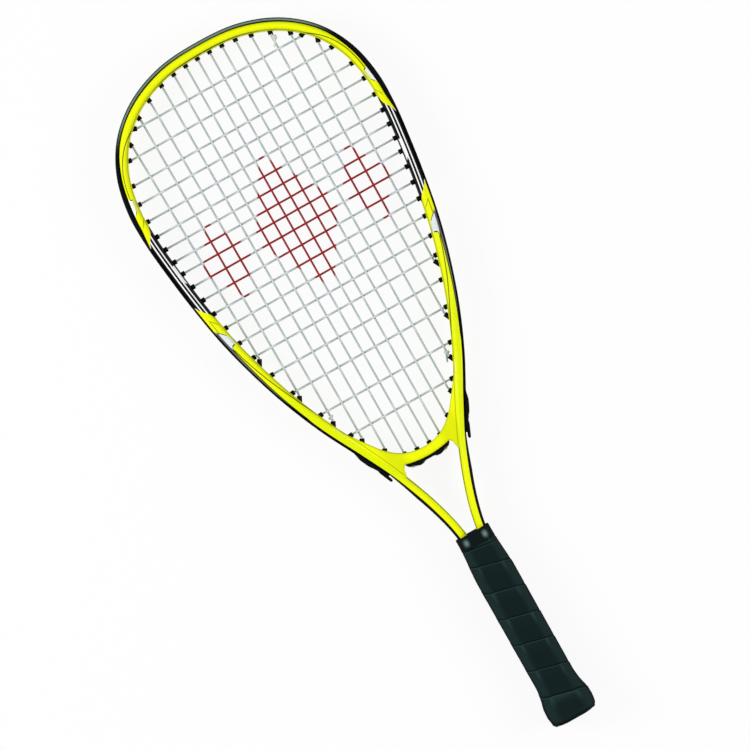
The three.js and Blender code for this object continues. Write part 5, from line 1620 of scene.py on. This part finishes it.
def grip_leather(name):
    """Soft matt strip with a fine grain. Painted highlights on its edges and the handle's ridges, painted
    shade in its seams, on its sides and at the butt.
    """
    grip = colours().grip
    f = Finish(name, specular_ior_level=0.02)
    grain = f.noise(900, 4, 0.6)
    across, facing = f.mark()[0], f.facing()
    base = f.mix(f.range(grain, 0, 0.4), grip, tinted(grip, 0.6))
    # Painted light: faces turned partly sideways are lighter
    base = f.mix(f.times(f.fall(facing, 0.7, 0.93), 0.5), base, tinted(grip, 2.2))
    # Painted highlights on the ridges, strongest near the strip's upper edge
    ridge_highlight = f.times(f.band(facing, 0.78, 0.97, 0.05), f.range(f.noise(60, 3), 0.3, 1.5),
                    f.range(f.step(across, 0.5, 0.97), 0.15, 0.7))
    x, y, _ = f.place()
    past_end = f.math("SUBTRACT", f.math("MULTIPLY_ADD", x, STRIP_END_SLOPE, y), STRIP_END_Y)
    # Painted highlight on the strip's upper edge, on the ridges and below the strip's end
    painted_highlight = f.most(f.times(f.step(across, 0.94, 0.98), 0.45), ridge_highlight,
                    f.times(f.band(past_end, *STRIP_END_HIGHLIGHT, 0.2 * MM), 0.35))
    base = f.mix(painted_highlight, base, tinted(grip, 3.5))
    # Painted shade in the seams and above the strip's end
    painted_crease_shade = f.most(f.fall(across, 0.085, 0.12), f.band(past_end, *STRIP_END_SHADE, 0.2 * MM))
    base = f.mix(f.times(painted_crease_shade, 0.85), base, tinted(grip, 0.1))
    # Painted shade on the faces turned sideways and at the butt
    side_and_butt_shade = f.most(f.fall(facing, 0.45, 0.62), f.fall(y, *BUTT_SHADE_HEIGHTS))
    f.colour(f.mix(f.times(side_and_butt_shade, 0.85), base, tinted(grip, 0.12)))
    f.roughness(f.range(grain, 0.55, 0.75))
    f.bump(f.math("ADD", grain, f.times(f.noise(140, 2), 1.5)), 0.08 * MM, 0.7)
    return f.material


# Where a highlight is painted on the collar: across, and up from the handle's end
HIGHLIGHT_X = (6.3 * MM, 8.9 * MM)
HIGHLIGHT_Y = (HANDLE_LENGTH - 6.8 * MM, HANDLE_LENGTH - 3.6 * MM)


def collar_rubber(name):
    """Glossy black rubber, with a painted highlight where the handle's ridges push it out."""
    f = Finish(name, specular_ior_level=0.0, coat_weight=0.12, coat_roughness=0.25)
    x, y, _ = f.place()
    collar_highlight = f.times(f.band(f.size_of(x), *HIGHLIGHT_X, 1.8 * MM), f.band(y, *HIGHLIGHT_Y, 2.4 * MM),
                       f.range(f.noise(160, 2), 0.5, 1.0))
    f.colour(f.mix(collar_highlight, shade(6, 17, 18), shade(145, 182, 176)))
    f.roughness(f.range(f.noise(200, 2), 0.2, 0.35))
    f.bump(f.noise(700, 2), 0.03 * MM, 0.4)
    return f.material


def cap_plastic(name):
    """Black moulded plastic with a fine spark-eroded grain."""
    f = Finish(name, specular_ior_level=0.15)
    f.colour(shade(14, 16, 17))
    f.roughness(f.range(f.noise(500, 3), 0.4, 0.55))
    f.bump(f.noise(1200, 2), 0.04 * MM, 0.5)
    return f.material


FOAM_BLACK_FROM = (140 * MM, 141 * MM)


def foam_core(name):
    """Pale foam with fine cells, black at the top where it shows in the collar's mouth."""
    c = colours()
    f = Finish(name)
    cells = f.noise(1400, 4, 0.7)
    foam = f.mix(cells, c.foam, tinted(c.foam, 0.7))
    f.colour(f.mix(f.step(f.place()[1], *FOAM_BLACK_FROM), foam, c.black))
    f.roughness(0.9)
    f.bump(cells, 0.2 * MM, 0.6)
    return f.material


def staple_steel(name):
    f = Finish(name, metallic=1.0)
    f.colour(shade(190, 194, 198))
    f.roughness(f.range(f.noise(900, 2), 0.25, 0.4))
    return f.material


def tape_film(name):
    f = Finish(name)
    f.colour(shade(16, 17, 18))
    f.roughness(f.range(f.noise(500, 2), 0.45, 0.6))
    f.bump(f.noise(700, 3), 0.03 * MM, 0.5)
    return f.material


# Stage, in metres

MIDDLE = Vector((0, 0.28, 0))
FLOOR_SIZE = 6
FLOOR_BELOW = 0.5 * MM
LAMPS = {"lamp_key": (Vector((-1.5, 1.0, 1.25)), 23), "lamp_fill": (Vector((1.5, -0.35, 1.25)), 16)}
LAMP_SIZE = 0.9
WORLD_LIGHT = 0.5
CAMERA_PLACE = Vector((-5.32 * MM, 286.42 * MM, 3.0113))
CAMERA_TURN = -math.radians(29.4)
LENS, SENSOR = 200, 36
FAR_CLIP = 20


class RACKET_OT_stage(bpy.types.Operator):
    """Lay the floor, hang the lamps and place the camera"""

    bl_idname = "racket.stage"
    bl_label = "Stage"

    def execute(self, context):
        deselect()
        bpy.ops.mesh.primitive_plane_add(size=FLOOR_SIZE, location=(*MIDDLE[:2], CAD_BOX[0].z - FLOOR_BELOW))
        floor = context.object
        floor.name = floor.data.name = "stage_floor"
        bpy.ops.object.transform_apply(location=True)
        floor.data.materials.append(floor_paper("stage_floor"))
        for name, (place, power) in LAMPS.items():
            bpy.ops.object.light_add(type="AREA", location=place)
            lamp = context.object
            lamp.name = lamp.data.name = name
            lamp.data.size, lamp.data.energy = LAMP_SIZE, power
            lamp.rotation_euler = (MIDDLE - place).to_track_quat("-Z", "Y").to_euler()
        world = context.scene.world = bpy.data.worlds.new("stage_world")
        world.use_nodes = True
        light = Nodes(world.node_tree)
        back = world.node_tree.nodes["Background"]
        back.inputs["Color"].default_value = (1, 1, 1, 1)
        light.feed(back.inputs["Strength"], light.range(light.seen(), WORLD_LIGHT, 1.0))
        bpy.ops.object.camera_add(location=CAMERA_PLACE, rotation=(0, 0, CAMERA_TURN))
        camera = context.scene.camera = context.object
        camera.name = camera.data.name = "stage_camera"
        camera.data.lens, camera.data.sensor_width, camera.data.clip_end = LENS, SENSOR, FAR_CLIP
        context.scene.view_settings.view_transform = "Standard"
        return {"FINISHED"}


def floor_paper(name):
    """White paper that glows a little to the camera, so that it stays pale all over."""
    f = Finish(name)
    f.colour((0.9, 0.9, 0.9))
    f.roughness(0.9)
    glow = f.node("Emission", (1, 1, 1), 1.0)
    mixer = f.node("MixShader", f.times(f.seen(), 0.9), f.shader.outputs[0], glow.outputs[0])
    f.feed(f.tree.nodes["Material Output"].inputs["Surface"], mixer.outputs[0])
    return f.material


STEPS = (RACKET_OT_frame_tube, RACKET_OT_bridge, RACKET_OT_strips, RACKET_OT_strings, RACKET_OT_grip,
         RACKET_OT_handle_ends, RACKET_OT_handle_core, RACKET_OT_stage)


class RACKET_PT_panel(bpy.types.Panel):
    """Lists the racket's sizes, colours and steps"""

    bl_label = "Racket"
    bl_idname = "RACKET_PT_panel"
    bl_space_type = "VIEW_3D"
    bl_region_type = "UI"
    bl_category = "Racket"

    def draw(self, context):
        for group in GROUPS:
            values = getattr(context.scene, group)
            box = self.layout.box()
            for key in values.bl_rna.properties.keys():
                if key not in ("rna_type", "name"):
                    box.prop(values, key)
        for step in STEPS:
            self.layout.operator(step.bl_idname)


GROUPS = {"racket_frame": RacketFrameSizes, "racket_strings": RacketStringSizes,
          "racket_handle": RacketHandleSizes, "racket_colours": RacketColours}


def register():
    for group in GROUPS.values():
        bpy.utils.register_class(group)
    for name, group in GROUPS.items():
        setattr(bpy.types.Scene, name, PointerProperty(type=group))
    for step in (*STEPS, RACKET_PT_panel):
        bpy.utils.register_class(step)


def unregister():
    for step in reversed((*STEPS, RACKET_PT_panel)):
        bpy.utils.unregister_class(step)
    for name in GROUPS:
        delattr(bpy.types.Scene, name)
    for group in reversed(GROUPS.values()):
        bpy.utils.unregister_class(group)


def main():
    register()
    for name in ("frame_tube", "bridge", "strips", "strings", "grip", "handle_ends", "handle_core", "stage"):
        getattr(bpy.ops.racket, name)()
    bpy.context.view_layer.update()


if __name__ == "__main__":
    main()
